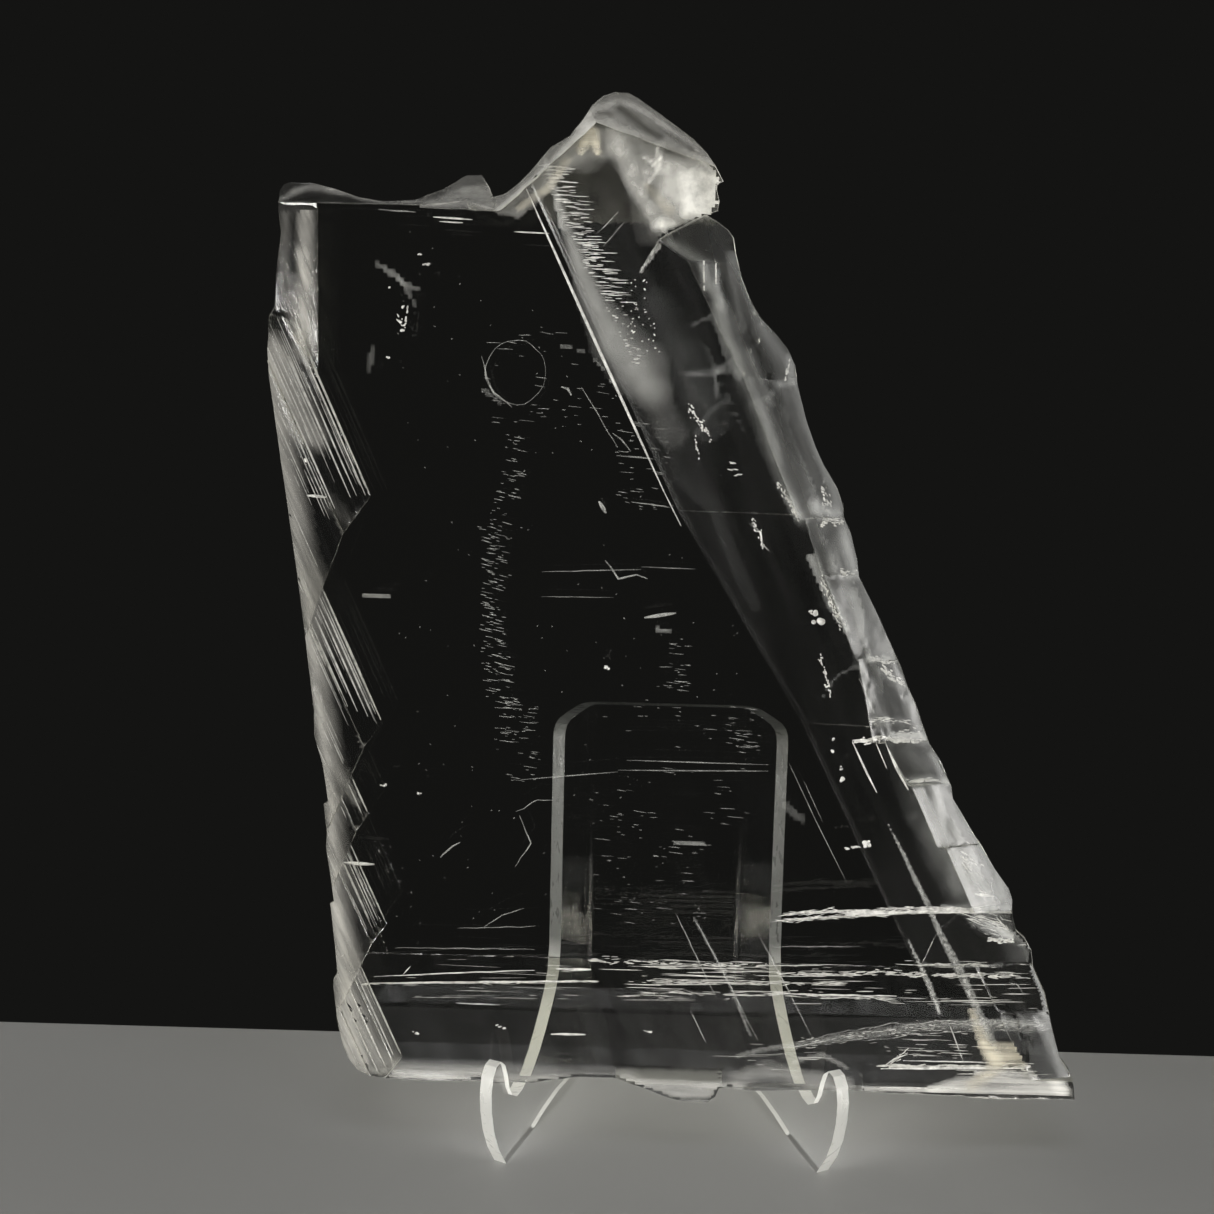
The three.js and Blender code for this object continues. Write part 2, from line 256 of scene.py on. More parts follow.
def veil_material(name, colour, pattern, contrast=0.5, roughness=0.8):
    """A see-through white veil: its own attribute says how dense, and the grain's noise breaks it up."""
    material, tree, shader = new_material(name)
    shader.inputs["Base Color"].default_value = tuple(colour) + (1,)
    shader.inputs["Roughness"].default_value = roughness
    shader.inputs["Specular IOR Level"].default_value = 0.1
    amount = tree.nodes.new("ShaderNodeAttribute")
    amount.attribute_name = "veil"
    stretch, turn = GRAINS[pattern]
    patchy = grain(tree, stretch, turn, 6.0, 0.62, (0.32, 0.68), (1.0 - contrast, 1.0 + contrast))
    tree.links.new(multiply(tree, amount.outputs["Fac"], patchy), shader.inputs["Alpha"])
    return material


def mark_material(name, colour, roughness=0.4, alpha=1.0):
    """White marks inside the crystal, a little patchy all over."""
    material, tree, shader = new_material(name)
    mix = tree.nodes.new("ShaderNodeMix")
    mix.data_type = "RGBA"
    mix.inputs["A"].default_value = tuple(0.75 * c for c in colour) + (1,)
    mix.inputs["B"].default_value = tuple(colour) + (1,)
    tree.links.new(grain(tree, (900, 900, 900), limits=(0.35, 0.6)), mix.inputs["Factor"])
    tree.links.new(mix.outputs["Result"], shader.inputs["Base Color"])
    shader.inputs["Roughness"].default_value = roughness
    patchy = grain(tree, (420, 420, 420), detail=2.0, limits=(0.35, 0.55), values=(alpha * 0.45, alpha))
    tree.links.new(patchy, shader.inputs["Alpha"])
    return material


# Soft regions, measured in the plane of the slab's face

TINY = 1e-9
FAR = 1e9


def smooth(level):
    """Eases a level from 0 to 1."""
    level = np.clip(level, 0, 1)
    return level * level * (3 - 2 * level)


def gap_to_line(spots, start, end):
    """How far each spot is from a straight line, and how far along the line it is nearest."""
    direction = np.array(end[:2]) - np.array(start[:2])
    offset = spots - np.array(start[:2])
    share = np.clip(offset @ direction / max(direction @ direction, TINY), 0, 1)
    return np.hypot(*(offset - share[:, None] * direction).T), share


def near_lines(spots, lines):
    """Strength near soft lines: each is a list of (across, up, radius) and a strength."""
    total = np.zeros(len(spots))
    for points, strength in lines:
        best = np.zeros(len(spots))
        for start, end in zip(points, points[1:]):
            gap, share = gap_to_line(spots, start, end)
            radius = start[2] + (end[2] - start[2]) * share
            best = np.maximum(best, smooth(1 - gap / radius))
        total += strength * best
    return total


def in_patches(spots, patches):
    """Strength inside soft-edged patches: each is a corner list, a soft width and a strength."""
    total = np.zeros(len(spots))
    for corners, soft, strength in patches:
        inside = np.zeros(len(spots), bool)
        gap = np.full(len(spots), FAR)
        for start, end in zip(corners, corners[1:] + corners[:1]):
            gap = np.minimum(gap, gap_to_line(spots, start, end)[0])
            crosses = (start[1] > spots[:, 1]) != (end[1] > spots[:, 1])
            rise = end[1] - start[1] if end[1] != start[1] else TINY
            meets = start[0] + (spots[:, 1] - start[1]) * (end[0] - start[0]) / rise
            inside ^= crosses & (spots[:, 0] < meets)
        total += strength * np.where(inside, smooth(0.5 + gap / soft), smooth(0.5 - gap / soft))
    return total


# Crystal surface

EDGE_LENGTH = 1.5
MERGE_GAP = 0.004
SLIVER = 0.01
SAME_PLANE = math.radians(0.6)
SPLIT_ROUNDS = 6
FLAT_NORMAL = 0.9997
GENTLE_NORMAL = 0.98
FRONT_NORMAL = 0.3
BACK_NORMAL = -0.3
CREASE = math.radians(28)
CAP_CREASE = math.radians(60)

# Where the kinds of broken face meet, across or up the slab's face
SILK_EDGE = -58
SCOOP_FOOT = 194
CAP_FOOT = 194.5
CAP_LEFT = -45
THREADS_FULL = -64
THREADS_FADE = 14
LONG_STEP_LEFT = 20
LONG_STEP_TOP = 43.6
UNDERSIDE_TOP = 8
UNDERSIDE_TILT = 0.4

# Relief of the broken faces: height, then how fast it changes across the grain, along it and through the slab
SHELLS = ((0.34, 0.22, 0.05, 0.1), (0.1, 0.7, 0.16, 0.4))
THREADS = ((0.1, 0.5, 0.03, 0.25), (0.05, 1.9, 0.05, 0.5))
CRUMB_HEIGHT = 0.05
CRUMB_SCALE = 1.1
SINK = 0.28
QUIET_BACK = 0.03
QUIET_FACE = 0.15


def ripples(rows, side, along, z):
    """The height of some rows of relief, added up."""
    return sum(height * noise.noise(Vector((side * a, along * b, z * c))) for height, a, b, c in rows)


def surface_waste(u, w, z, facing):
    """How many millimetres a broken face sinks in: threads down the grain at the left, shells elsewhere."""
    along = u * GRAIN_ALONG[0] + w * GRAIN_ALONG[1]
    side = u * GRAIN_ACROSS[0] + w * GRAIN_ACROSS[1]
    crumbs = CRUMB_HEIGHT * noise.noise(Vector((u * CRUMB_SCALE, w * CRUMB_SCALE, z * CRUMB_SCALE)))
    shells = ripples(SHELLS, side, along, z) + crumbs
    threads = ripples(THREADS, side, along, z)
    share = min(1.0, max(0.0, (THREADS_FULL + THREADS_FADE - u) / THREADS_FADE))
    quiet = 1.0
    if facing < BACK_NORMAL or (w > SCOOP_FOOT and u < SILK_EDGE):
        quiet = QUIET_BACK
    elif facing > GENTLE_NORMAL and u > SILK_EDGE:
        quiet = QUIET_FACE
    return SINK + quiet * (share * threads + (1 - share) * shells)


def is_flat(face):
    return abs(face.normal.z) > FLAT_NORMAL


def drop_folded_faces(work):
    """Takes out faces folded flat on each other, which thin slivers leave behind."""
    alike = {}
    for face in work.faces:
        alike.setdefault(frozenset(face.verts), []).append(face)
    folded = [face for faces in alike.values() for face in faces[:len(faces) // 2 * 2]]
    bmesh.ops.delete(work, geom=folded, context="FACES")


def crystal_surface():
    """The crystal's solid in slab millimetres, cleaned, with its broken faces refined and roughened."""
    work = bmesh.new()
    work.from_mesh(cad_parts["selenite_crystal"].data)
    work.transform(SLAB_INVERSE)
    bmesh.ops.remove_doubles(work, verts=work.verts, dist=MERGE_GAP)
    bmesh.ops.dissolve_degenerate(work, edges=work.edges, dist=SLIVER)
    bmesh.ops.dissolve_limit(work, angle_limit=SAME_PLANE, verts=work.verts, edges=work.edges)
    bmesh.ops.triangulate(work, faces=work.faces)
    for _ in range(SPLIT_ROUNDS):
        long_edges = [
            edge for edge in work.edges
            if edge.calc_length() > EDGE_LENGTH and not all(is_flat(face) for face in edge.link_faces)
        ]
        if not long_edges:
            break
        bmesh.ops.subdivide_edges(work, edges=long_edges, cuts=1, use_grid_fill=False)
        bmesh.ops.triangulate(work, faces=[face for face in work.faces if len(face.verts) > 3])
    drop_folded_faces(work)
    work.normal_update()
    moves = {}
    for vert in work.verts:
        if all(is_flat(face) for face in vert.link_faces):
            continue
        step = -vert.normal * surface_waste(*vert.co, vert.normal.z)
        if any(is_flat(face) for face in vert.link_faces):
            step.z = 0.0
        moves[vert] = step
    flat = {face: is_flat(face) for face in work.faces}
    for vert, step in moves.items():
        vert.co += step
    work.normal_update()
    for face in work.faces:
        face.smooth = not flat[face]
    for edge in work.edges:
        alike = len({flat[face] for face in edge.link_faces}) == 1
        spot = edge.verts[0].co
        limit = CAP_CREASE if spot.y > CAP_FOOT and spot.x > CAP_LEFT else CREASE
        edge.smooth = alike and edge.calc_face_angle(math.pi) < limit
    return work


CLEAR, SILKY, FROSTED, HAZY, SMOKY = range(5)


def finish_of(face):
    """Which of the crystal's finishes a face has, from where it is and where it looks."""
    u, w, _ = face.calc_center_median()
    normal = face.normal
    if is_flat(face) or (normal.z > GENTLE_NORMAL and u > LONG_STEP_LEFT and w < LONG_STEP_TOP):
        return CLEAR
    if normal.z < BACK_NORMAL:
        return SMOKY
    if w > CAP_FOOT:
        return CLEAR if u < SILK_EDGE else HAZY
    if w < UNDERSIDE_TOP and abs(normal.y) > UNDERSIDE_TILT:
        return FROSTED
    return SILKY if u < SILK_EDGE else HAZY


def make_crystal(surface):
    mesh = bpy.data.meshes.new("selenite_body")
    surface.to_mesh(mesh)
    finishes = [finish_of(face) for face in surface.faces]
    mesh.transform(SLAB)
    for material in (
        clear_selenite(),
        broken_selenite("silky_selenite", 0.1, "threads", 0.18),
        broken_selenite("frosted_selenite", 0.4, "frost", 0.4),
        broken_selenite("hazy_selenite", 0.22, "folds", 0.1),
        broken_selenite("smoky_selenite", 0.18, "folds", 0.0),
    ):
        mesh.materials.append(material)
    mesh.polygons.foreach_set("material_index", finishes)
    piece = link(mesh, "selenite_body")
    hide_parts("selenite_crystal")
    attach(piece, "root")


IN_FRONT = 5
BEHIND = -30


def front_of(tree, u, w):
    """The face of the crystal at a place, as its distance behind the flat front, or None off the crystal."""
    hit = tree.ray_cast(Vector((u, w, IN_FRONT)), Vector((0, 0, -1)))[0]
    return None if hit is None else -hit.z


def back_of(tree, u, w):
    hit = tree.ray_cast(Vector((u, w, BEHIND)), Vector((0, 0, 1)))[0]
    return None if hit is None else -hit.z


def lies_inside(tree, u, w, depth, margin=0.35):
    front = front_of(tree, u, w)
    return front is not None and front + margin < depth < back_of(tree, u, w) - margin


# Thin closed skins and sheets that carry a veil

SKIN_LIFT = 0.05
SKIN_INNER = 0.3
SKIN_BACK_LIMITS = (0.02 - THICKNESS, 0.04 - THICKNESS)
SKIN_FAINTEST = 0.01
SHEET_HALF = 0.1
SHEET_FAINTEST = 0.004
SWAY_SCALE = 0.08


def closed_shell(outer, inner, faces, amounts, name, material):
    """Two layers with the same faces, joined round their rim. The amounts are the veil at each corner."""
    count = len(outer)
    rim = {}
    for face in faces:
        for a, b in zip(face, face[1:] + face[:1]):
            if (b, a) in rim:
                del rim[(b, a)]
            else:
                rim[(a, b)] = True
    back = [tuple(count + corner for corner in reversed(face)) for face in faces]
    sides = [(b, a, count + a, count + b) for a, b in rim]
    mesh = bpy.data.meshes.new(name)
    mesh.from_pydata(np.vstack((outer, inner)).tolist(), [], [tuple(f) for f in faces] + back + sides)
    veil = mesh.attributes.new("veil", "FLOAT", "POINT")
    veil.data.foreach_set("value", np.concatenate((amounts, amounts)).astype(np.float32))
    mesh.update()
    settle(mesh, name, material)


def renumbered(faces):
    """The corners that some faces use, and the faces with their corners counted afresh."""
    order = {}
    for face in faces:
        for corner in face:
            order.setdefault(corner, len(order))
    return list(order), [[order[corner] for corner in face] for face in faces]


def surface_skin(surface, chosen, density, name, material):
    """A skin just off the chosen faces. The density is worked out from positions and normals."""
    surface.verts.index_update()
    used = {}
    faces = []
    for face in surface.faces:
        if chosen(face):
            faces.append([used.setdefault(vert.index, len(used)) for vert in face.verts])
    surface.verts.ensure_lookup_table()
    spots = np.array([surface.verts[i].co for i in used])
    normals = np.array([surface.verts[i].normal for i in used])
    amounts = np.clip(density(spots, normals), 0, 1)
    faces = [face for face in faces if max(amounts[corner] for corner in face) > SKIN_FAINTEST]
    picks, tidy = renumbered(faces)
    outer = spots[picks] + SKIN_LIFT * normals[picks]
    inner = spots[picks] + SKIN_INNER * SKIN_LIFT * normals[picks]
    for layer, limit in zip((outer, inner), SKIN_BACK_LIMITS):
        layer[:, 2] = np.maximum(layer[:, 2], limit)
    closed_shell(outer, inner, tidy, amounts[picks], name, material)


def inner_sheet(tree, corners, depth, density, name, material, step=0.9, wave=0.6):
    """A wavy sheet inside the slab between two corners (across, up). Its density comes from positions."""
    (left, low), (right, high) = corners
    across = np.arange(left, right + step, step)
    up = np.arange(low, high + step, step)
    grid_u, grid_w = np.meshgrid(across, up)
    spots = np.column_stack((grid_u.ravel(), grid_w.ravel()))
    amounts = np.clip(density(spots), 0, 1)
    sway = np.array([noise.noise(Vector((u * SWAY_SCALE, w * SWAY_SCALE, depth))) for u, w in spots])
    z = -depth + wave * sway
    for i in np.flatnonzero(amounts > SHEET_FAINTEST):
        if not lies_inside(tree, *spots[i], -z[i]):
            amounts[i] = 0
    columns = len(across)
    faces = []
    for row in range(len(up) - 1):
        for column in range(columns - 1):
            a = row * columns + column
            face = [a, a + 1, a + columns + 1, a + columns]
            if amounts[face].min() > SHEET_FAINTEST:
                faces.append(face)
    picks, tidy = renumbered(faces)
    outer = np.column_stack((spots[picks], z[picks] + SHEET_HALF))
    inner = np.column_stack((spots[picks], z[picks] - SHEET_HALF))
    closed_shell(outer, inner, tidy, amounts[picks], name, material)


# Lines and threads: thin four-sided blades with pointed ends, along points (across, up, out of the face)

BLUNT = 0.12
LINE_HALF_DEPTH = 0.1
WAVER_SCALE = 0.3
WAVER_APART = 7.3
WAVER_SEED = 4
noise.seed_set(WAVER_SEED)


def blade_into(work, points, half_width, half_depth):
    count = len(points)
    rings = []
    for i, (u, w, z) in enumerate(points):
        before = points[max(i - 1, 0)]
        after = points[min(i + 1, count - 1)]
        direction = Vector((after[0] - before[0], after[1] - before[1], 0)).normalized()
        side = Vector((-direction.y, direction.x, 0))
        share = i / (count - 1)
        size = math.sqrt(max(math.sin(math.pi * share), BLUNT))
        centre = Vector((u, w, z))
        out = Vector((0, 0, half_depth * size))
        across = side * half_width * size
        rings.append([work.verts.new(centre + step) for step in (across, out, -across, -out)])
    for a, b in zip(rings, rings[1:]):
        for k in range(4):
            n = (k + 1) % 4
            work.faces.new((a[k], b[k], b[n], a[n]))
    work.faces.new(rings[0])
    work.faces.new(list(reversed(rings[-1])))


def along_line(points, step=2.0, wobble=0.0, seed=0.0):
    """Evenly spaced points along a given line, with a little waver."""
    result = []
    for start, end in zip(points, points[1:]):
        count = max(1, int(math.hypot(end[0] - start[0], end[1] - start[1]) / step))
        for i in range(count):
            share = i / count
            result.append([a + (b - a) * share for a, b in zip(start, end)])
    result.append(list(points[-1]))
    for point in result:
        place = (point[0] * WAVER_SCALE, point[1] * WAVER_SCALE, seed * WAVER_APART)
        shift = noise.noise_vector(Vector(place))
        point[0] += shift.x * wobble
        point[1] += shift.y * wobble
    return result


def finish_blades(work, name, material):
    bmesh.ops.recalc_face_normals(work, faces=work.faces)
    mesh = bpy.data.meshes.new(name)
    work.to_mesh(mesh)
    work.free()
    settle(mesh, name, material)


def make_lines(name, lines, material):
    """Lines are (points, half width, waver) at a depth given with each point."""
    work = bmesh.new()
    for i, (points, width, wobble) in enumerate(lines):
        spots = along_line([(u, w, -depth) for u, w, depth in points], 1.0, wobble, i)
        blade_into(work, spots, width, LINE_HALF_DEPTH + width / 2)
    finish_blades(work, name, material)


# Flakes: one node tree sets a spindle on every point, with the size and tilt that the point carries

def flake_tree():
    tree = bpy.data.node_groups.new("flakes_on_points", "GeometryNodeTree")
    tree.interface.new_socket("Points", in_out="INPUT", socket_type="NodeSocketGeometry")
    fineness = tree.interface.new_socket("Fineness", in_out="INPUT", socket_type="NodeSocketInt")
    finish = tree.interface.new_socket("Finish", in_out="INPUT", socket_type="NodeSocketMaterial")
    tree.interface.new_socket("Flakes", in_out="OUTPUT", socket_type="NodeSocketGeometry")
    nodes, links = tree.nodes, tree.links
    start = nodes.new("NodeGroupInput")
    end = nodes.new("NodeGroupOutput")
    spindle = nodes.new("GeometryNodeMeshIcoSphere")
    spindle.inputs["Radius"].default_value = 0.5
    place = nodes.new("GeometryNodeInstanceOnPoints")
    size = nodes.new("GeometryNodeInputNamedAttribute")
    size.data_type = "FLOAT_VECTOR"
    size.inputs["Name"].default_value = "size"
    tilt = nodes.new("GeometryNodeInputNamedAttribute")
    tilt.data_type = "FLOAT_VECTOR"
    tilt.inputs["Name"].default_value = "tilt"
    real = nodes.new("GeometryNodeRealizeInstances")
    coat = nodes.new("GeometryNodeSetMaterial")
    links.new(start.outputs["Points"], place.inputs["Points"])
    links.new(start.outputs["Fineness"], spindle.inputs["Subdivisions"])
    links.new(spindle.outputs["Mesh"], place.inputs["Instance"])
    links.new(size.outputs["Attribute"], place.inputs["Scale"])
    links.new(tilt.outputs["Attribute"], place.inputs["Rotation"])
    links.new(place.outputs["Instances"], real.inputs["Geometry"])
    links.new(real.outputs["Geometry"], coat.inputs["Geometry"])
    links.new(start.outputs["Finish"], coat.inputs["Material"])
    links.new(coat.outputs["Geometry"], end.inputs["Flakes"])
    return tree, fineness.identifier, finish.identifier


FLAKES, FINENESS, FINISH = flake_tree()
FLAKE_MARGIN = 0.2
FLAKE_THICKNESS = 0.6


def flake_fits(tree, u, w, depth, length):
    return all(lies_inside(tree, u + end * length / 2, w, depth, FLAKE_MARGIN) for end in (-1, 1))


def make_flakes(tree, name, rows, material, fineness=1):
    """Rows are (across, up, depth, length, width, tilt). Those that would stick out are left off."""
    rows = [row for row in rows if flake_fits(tree, *row[:4])]
    mesh = bpy.data.meshes.new(name + "_points")
    mesh.from_pydata([(u, w, -depth) for u, w, depth, *_ in rows], [], [])
    sizes = [(length, width, width * FLAKE_THICKNESS) for *_, length, width, _ in rows]
    tilts = [(0.0, 0.0, row[-1]) for row in rows]
    for label, values in (("size", sizes), ("tilt", tilts)):
        attribute = mesh.attributes.new(label, "FLOAT_VECTOR", "POINT")
        attribute.data.foreach_set("vector", np.ravel(values).astype(np.float32))
    holder = link(mesh, name + "_points")
    modifier = holder.modifiers.new("flakes", "NODES")
    modifier.node_group = FLAKES
    modifier[FINENESS] = fineness
    modifier[FINISH] = material
    graph = bpy.context.evaluated_depsgraph_get()
    result = bpy.data.meshes.new_from_object(holder.evaluated_get(graph))
    result.name = name
    bpy.data.objects.remove(holder)
    bpy.data.meshes.remove(mesh)
    settle(result, name, material)


# Marks inside the crystal, as read from the photograph, in millimetres.
# A point is (across, up the face, depth), and a line is its points, half width and waver.

CLEAVAGE_LINES = [
    ([(-34.6, 200, 3), (-20, 170, 3), (-3.5, 136.5, 3)], 0.3, 0),
    ([(-3.5, 136.5, 3), (0.5, 129, 3)], 0.12, 0),
    ([(40, 82, 2.5), (43.5, 75, 2.5), (46, 70.5, 2.5)], 0.22, 0),
    ([(47.4, 82, 2.5), (50.2, 76, 2.5), (53, 71.3, 2.5)], 0.3, 0),
    ([(45.2, 82, 3), (48, 76, 3)], 0.14, 0),
    ([(-37, 191, 2), (-29.5, 190.8, 2)], 0.16, 0),
    ([(-54.5, 193.8, 3), (-46, 193.4, 3)], 0.2, 0.1),
    ([(-53, 192.9, 3), (-48, 192.7, 3)], 0.14, 0.1),
    ([(-69, 22, 5), (-40, 23.1, 5), (-16, 24.1, 5)], 0.26, 0.15),
    ([(-67, 23.4, 6), (-47, 24.9, 6), (-30, 26, 6)], 0.16, 0.1),
    ([(-25, 26.7, 5), (-17, 26.8, 5)], 0.34, 0.1),
    ([(-60.2, 24.5, 4), (-58.4, 26.6, 4)], 0.14, 0),
    ([(-26, 11, 5), (-18, 11.1, 5)], 0.3, 0.1),
    ([(-48, 17.6, 6), (-38, 17.4, 6)], 0.14, 0.2),
    ([(25, 22.4, 5), (38, 22.2, 5), (53, 22.3, 5)], 0.24, 0.2),
    ([(-82, 133.7, 3.8), (-77.6, 133.5, 3.8)], 0.34, 0),
    ([(-73.6, 51, 2.4), (-66.6, 50.8, 2.4)], 0.4, 0),
    ([(50, 5.5, 2.5), (66, 6.1, 2.5), (83, 6.5, 2.5)], 0.3, 0.1),
    ([(40, 42.4, 1.1), (58, 43.3, 1.1), (72, 43.7, 1.1), (77.4, 43.8, 1.4)], 0.3, 0.05),
    ([(50.6, 6, 2.5), (53, 8, 2.5), (56, 9.2, 2.5)], 0.16, 0.2),
    ([(55, 7.6, 2.5), (70, 7.7, 2.5), (85, 7.5, 2.5)], 0.16, 0.1),
    ([(50, 1.2, 2), (70, 1.3, 2)], 0.16, 0.1),
]
FAINT_LINES = [
    ([(26.5, 76, 6), (33, 63, 6), (40.5, 49, 6)], 0.08, 0),
    ([(30, 72, 6), (34.4, 63, 6)], 0.06, 0),
    ([(-12, 73.2, 8), (4, 73.5, 8), (22, 73.9, 8)], 0.14, 0),
    ([(-10, 75.4, 9), (22, 75.2, 9)], 0.12, 0),
    ([(-34, 70.4, 8), (-12, 72.8, 8)], 0.12, 0),
    ([(-10.5, 134, 5), (-2, 133, 5)], 0.12, 0.1),
    ([(-14, 144, 5), (-6, 143.5, 5)], 0.14, 0.1),
    ([(-30, 118, 7), (-8, 119, 7)], 0.1, 0.1),
    ([(-30, 112.4, 7), (-14, 112.6, 7)], 0.08, 0.1),
    ([(-8, 119.6, 7), (4, 119.4, 7)], 0.1, 0.1),
    ([(-66, 195, 2), (-58, 194.6, 2)], 0.14, 0.1),
    ([(-22, 158.6, 6), (-14, 146, 6)], 0.1, 0.2),
    ([(2, 40, 8), (12, 20, 8)], 0.12, 0.2),
    ([(20, 38, 7), (34, 12, 7)], 0.12, 0.2),
    ([(41, 96, 4), (44.6, 88, 4)], 0.14, 0.2),
    ([(-48, 35, 8), (-30, 36, 8)], 0.1, 0.2),
    ([(-62, 30.4, 6), (-30, 31, 6)], 0.12, 0.2),
    ([(24, 33.4, 5), (44, 34, 5)], 0.1, 0.2),
]

VEINS = [
    ([(27, 9.6, 4), (33, 10.6, 4), (38, 11.8, 4)], 0.14, 0.5),
    ([(33, 11.6, 4), (40, 13.6, 4), (46, 14.8, 4), (52, 16, 4), (64, 17, 4), (72, 17.4, 4), (88, 17, 4)],
     0.1, 0.6),
    ([(38, 11, 4), (44, 12, 4), (50, 12.2, 4), (56, 13.2, 4), (62, 14.2, 4), (76, 15, 4), (88, 14.4, 4)],
     0.1, 0.6),
    ([(65, 17, 4), (67.6, 11, 4), (69.4, 6.6, 4)], 0.16, 0.1),
    ([(-34, 62, 7), (-31.5, 56, 7), (-35, 50, 7)], 0.12, 0.5),
    ([(-35, 63, 7), (-30, 66, 7), (-27, 66, 7)], 0.1, 0.6),
    ([(-52, 52, 7), (-49.5, 54.6, 7), (-47.5, 55.5, 7)], 0.18, 0.4),
    ([(-15, 149, 5), (-13, 147.5, 5), (-11, 145, 5)], 0.16, 0.2),
    ([(-17.6, 134, 5), (-16, 131.4, 5)], 0.45, 0.2),
    ([(-16, 121, 6), (-13, 117, 6), (-9, 118, 6), (-6.5, 117, 6)], 0.2, 0.4),
    ([(-26.4, 158.6, 4), (-25, 158.2, 4), (-24.2, 156.8, 4)], 0.3, 0.1),
    ([(-7, 108.4, 5), (0, 109.6, 5)], 0.4, 0.1),
    ([(15.5, 130, 5), (18, 128, 5), (18.6, 125.6, 5), (20, 124, 5)], 0.24, 0.4),
    ([(78, 27, 2), (80, 26.4, 2), (81.5, 24.5, 2)], 0.16, 0.4),
    ([(7, 38, 8), (14, 25, 8), (22, 10, 8)], 0.1, 0.2),
    ([(6, 17, 8), (10, 9, 8)], 0.1, 0.1),
    ([(-44, 165, 6), (-42.6, 160, 6), (-41, 157, 6), (-37, 154, 6)], 0.14, 0.4),
    ([(-19.4, 191, 2.6), (-15, 195.6, 2.6)], 0.1, 0.2),
    ([(-18, 188.4, 2.6), (-13.6, 193.6, 2.6)], 0.08, 0.2),
    ([(-10, 183, 3), (-6, 190, 3)], 0.3, 0.2),
    ([(-42, 35.2, 9), (-38, 38, 9), (-33, 40, 9)], 0.1, 0.3),
]

CIRCLE_MARK = (-36.5, 161.5, 6.5)
CIRCLE_STRETCH = 1.06
CIRCLE_DEPTH = 6.0
CIRCLE_STEP = 12

# White specks: across, up, depth, length and width, each made of a few flakes
SPECKS = [
    (-57.5, 186, 5, 0.9, 0.5), (-56, 184, 5, 1.2, 0.6), (-61, 175, 5, 0.7, 0.7), (-61.5, 172, 5, 1.0, 0.9),
    (-61, 170, 5, 0.9, 0.8), (-64, 179, 5, 0.7, 0.5), (-64, 164, 5, 0.7, 0.6), (-15, 97, 6, 1.2, 0.8),
    (-57, 67, 6, 1.0, 0.7), (-64.5, 69, 4, 1.0, 0.7), (31, 109.5, 4, 2.8, 2.6), (29.6, 110.8, 4, 1.0, 0.8),
    (36, 79.5, 5, 0.9, 1.2), (36, 82, 5, 0.8, 0.8), (38.5, 73, 5, 1.0, 1.4), (38.2, 75.4, 5, 0.7, 0.7),
    (44.5, 58, 5, 1.7, 1.6), (42, 57.3, 5, 2.4, 0.6), (40.2, 57, 5, 1.4, 0.4), (-4, 12.5, 4, 2.2, 0.5),
    (-38, 13, 4, 1.6, 0.6), (-36.6, 12.4, 4, 1.0, 0.5), (32.4, 100, 6, 0.8, 0.8), (33.6, 97, 6, 0.6, 1.2),
    (34.2, 94, 6, 0.7, 0.6), (12, 141.6, 5, 2.2, 0.4), (11.2, 143, 5, 1.4, 0.4), (12.4, 140.4, 5, 1.6, 0.35),
    (-82, 141, 3, 0.8, 1.4), (-57.2, 10.2, 5, 1.2, 0.7),
]


SPECK_FLAKES = 5
DUST_COUNT = 190
DUST_LEFT, DUST_WIDE = -64, 84
DUST_FOOT, DUST_TALL = 34, 158
LEAST_ROOM = 0.5


def make_specks(tree, material, dust_material):
    """The placed white specks, and fine dust scattered through the clear part."""
    rng = np.random.default_rng(SEED)
    rows = []
    for u, w, depth, length, width in SPECKS:
        for _ in range(SPECK_FLAKES):
            spread_u, spread_w = rng.normal(0, 0.26, 2) * (length, width)
            size = rng.uniform(0.3, 0.75)
            rows.append((u + spread_u, w + spread_w, depth + rng.uniform(-0.4, 0.4), length * size,
                         width * size, rng.uniform(-0.5, 0.5)))
    make_flakes(tree, "specks", rows, material, 2)
    dust = []
    for _ in range(DUST_COUNT):
        u = DUST_LEFT + DUST_WIDE * rng.uniform()
        w = DUST_FOOT + DUST_TALL * rng.uniform()
        depth = rng.uniform(4, 14)
        length = rng.uniform(0.2, 0.6)
        width = rng.uniform(0.08, 0.18)
        dust.append((u, w, depth, length, width, rng.uniform(-1, 1)))
    make_flakes(tree, "dust", dust, dust_material)


def edge_at(edge, w):
    """How far across an edge lies at a height; the edge is (across, up) at falling heights."""
    rising = edge[::-1]
    return np.interp(w, [point[1] for point in rising], [point[0] for point in rising])


def band_rows(rng, count, left, right, lengths, widths, depths, tilt):
    """Dashes scattered between two edges, most of them short."""
    heights = [point[1] for point in left]
    rows = []
    for _ in range(count):
        w = rng.uniform(min(heights), max(heights))
        edge_left = edge_at(left, w)
        length = lengths[0] + (lengths[1] - lengths[0]) * rng.uniform() ** 2
        room = max(edge_at(right, w) - edge_left - length, LEAST_ROOM)
        u = edge_left + length / 2 + rng.uniform() * room
        rows.append((u, w, rng.uniform(*depths), length, rng.uniform(*widths), rng.uniform(*tilt)))
    return rows


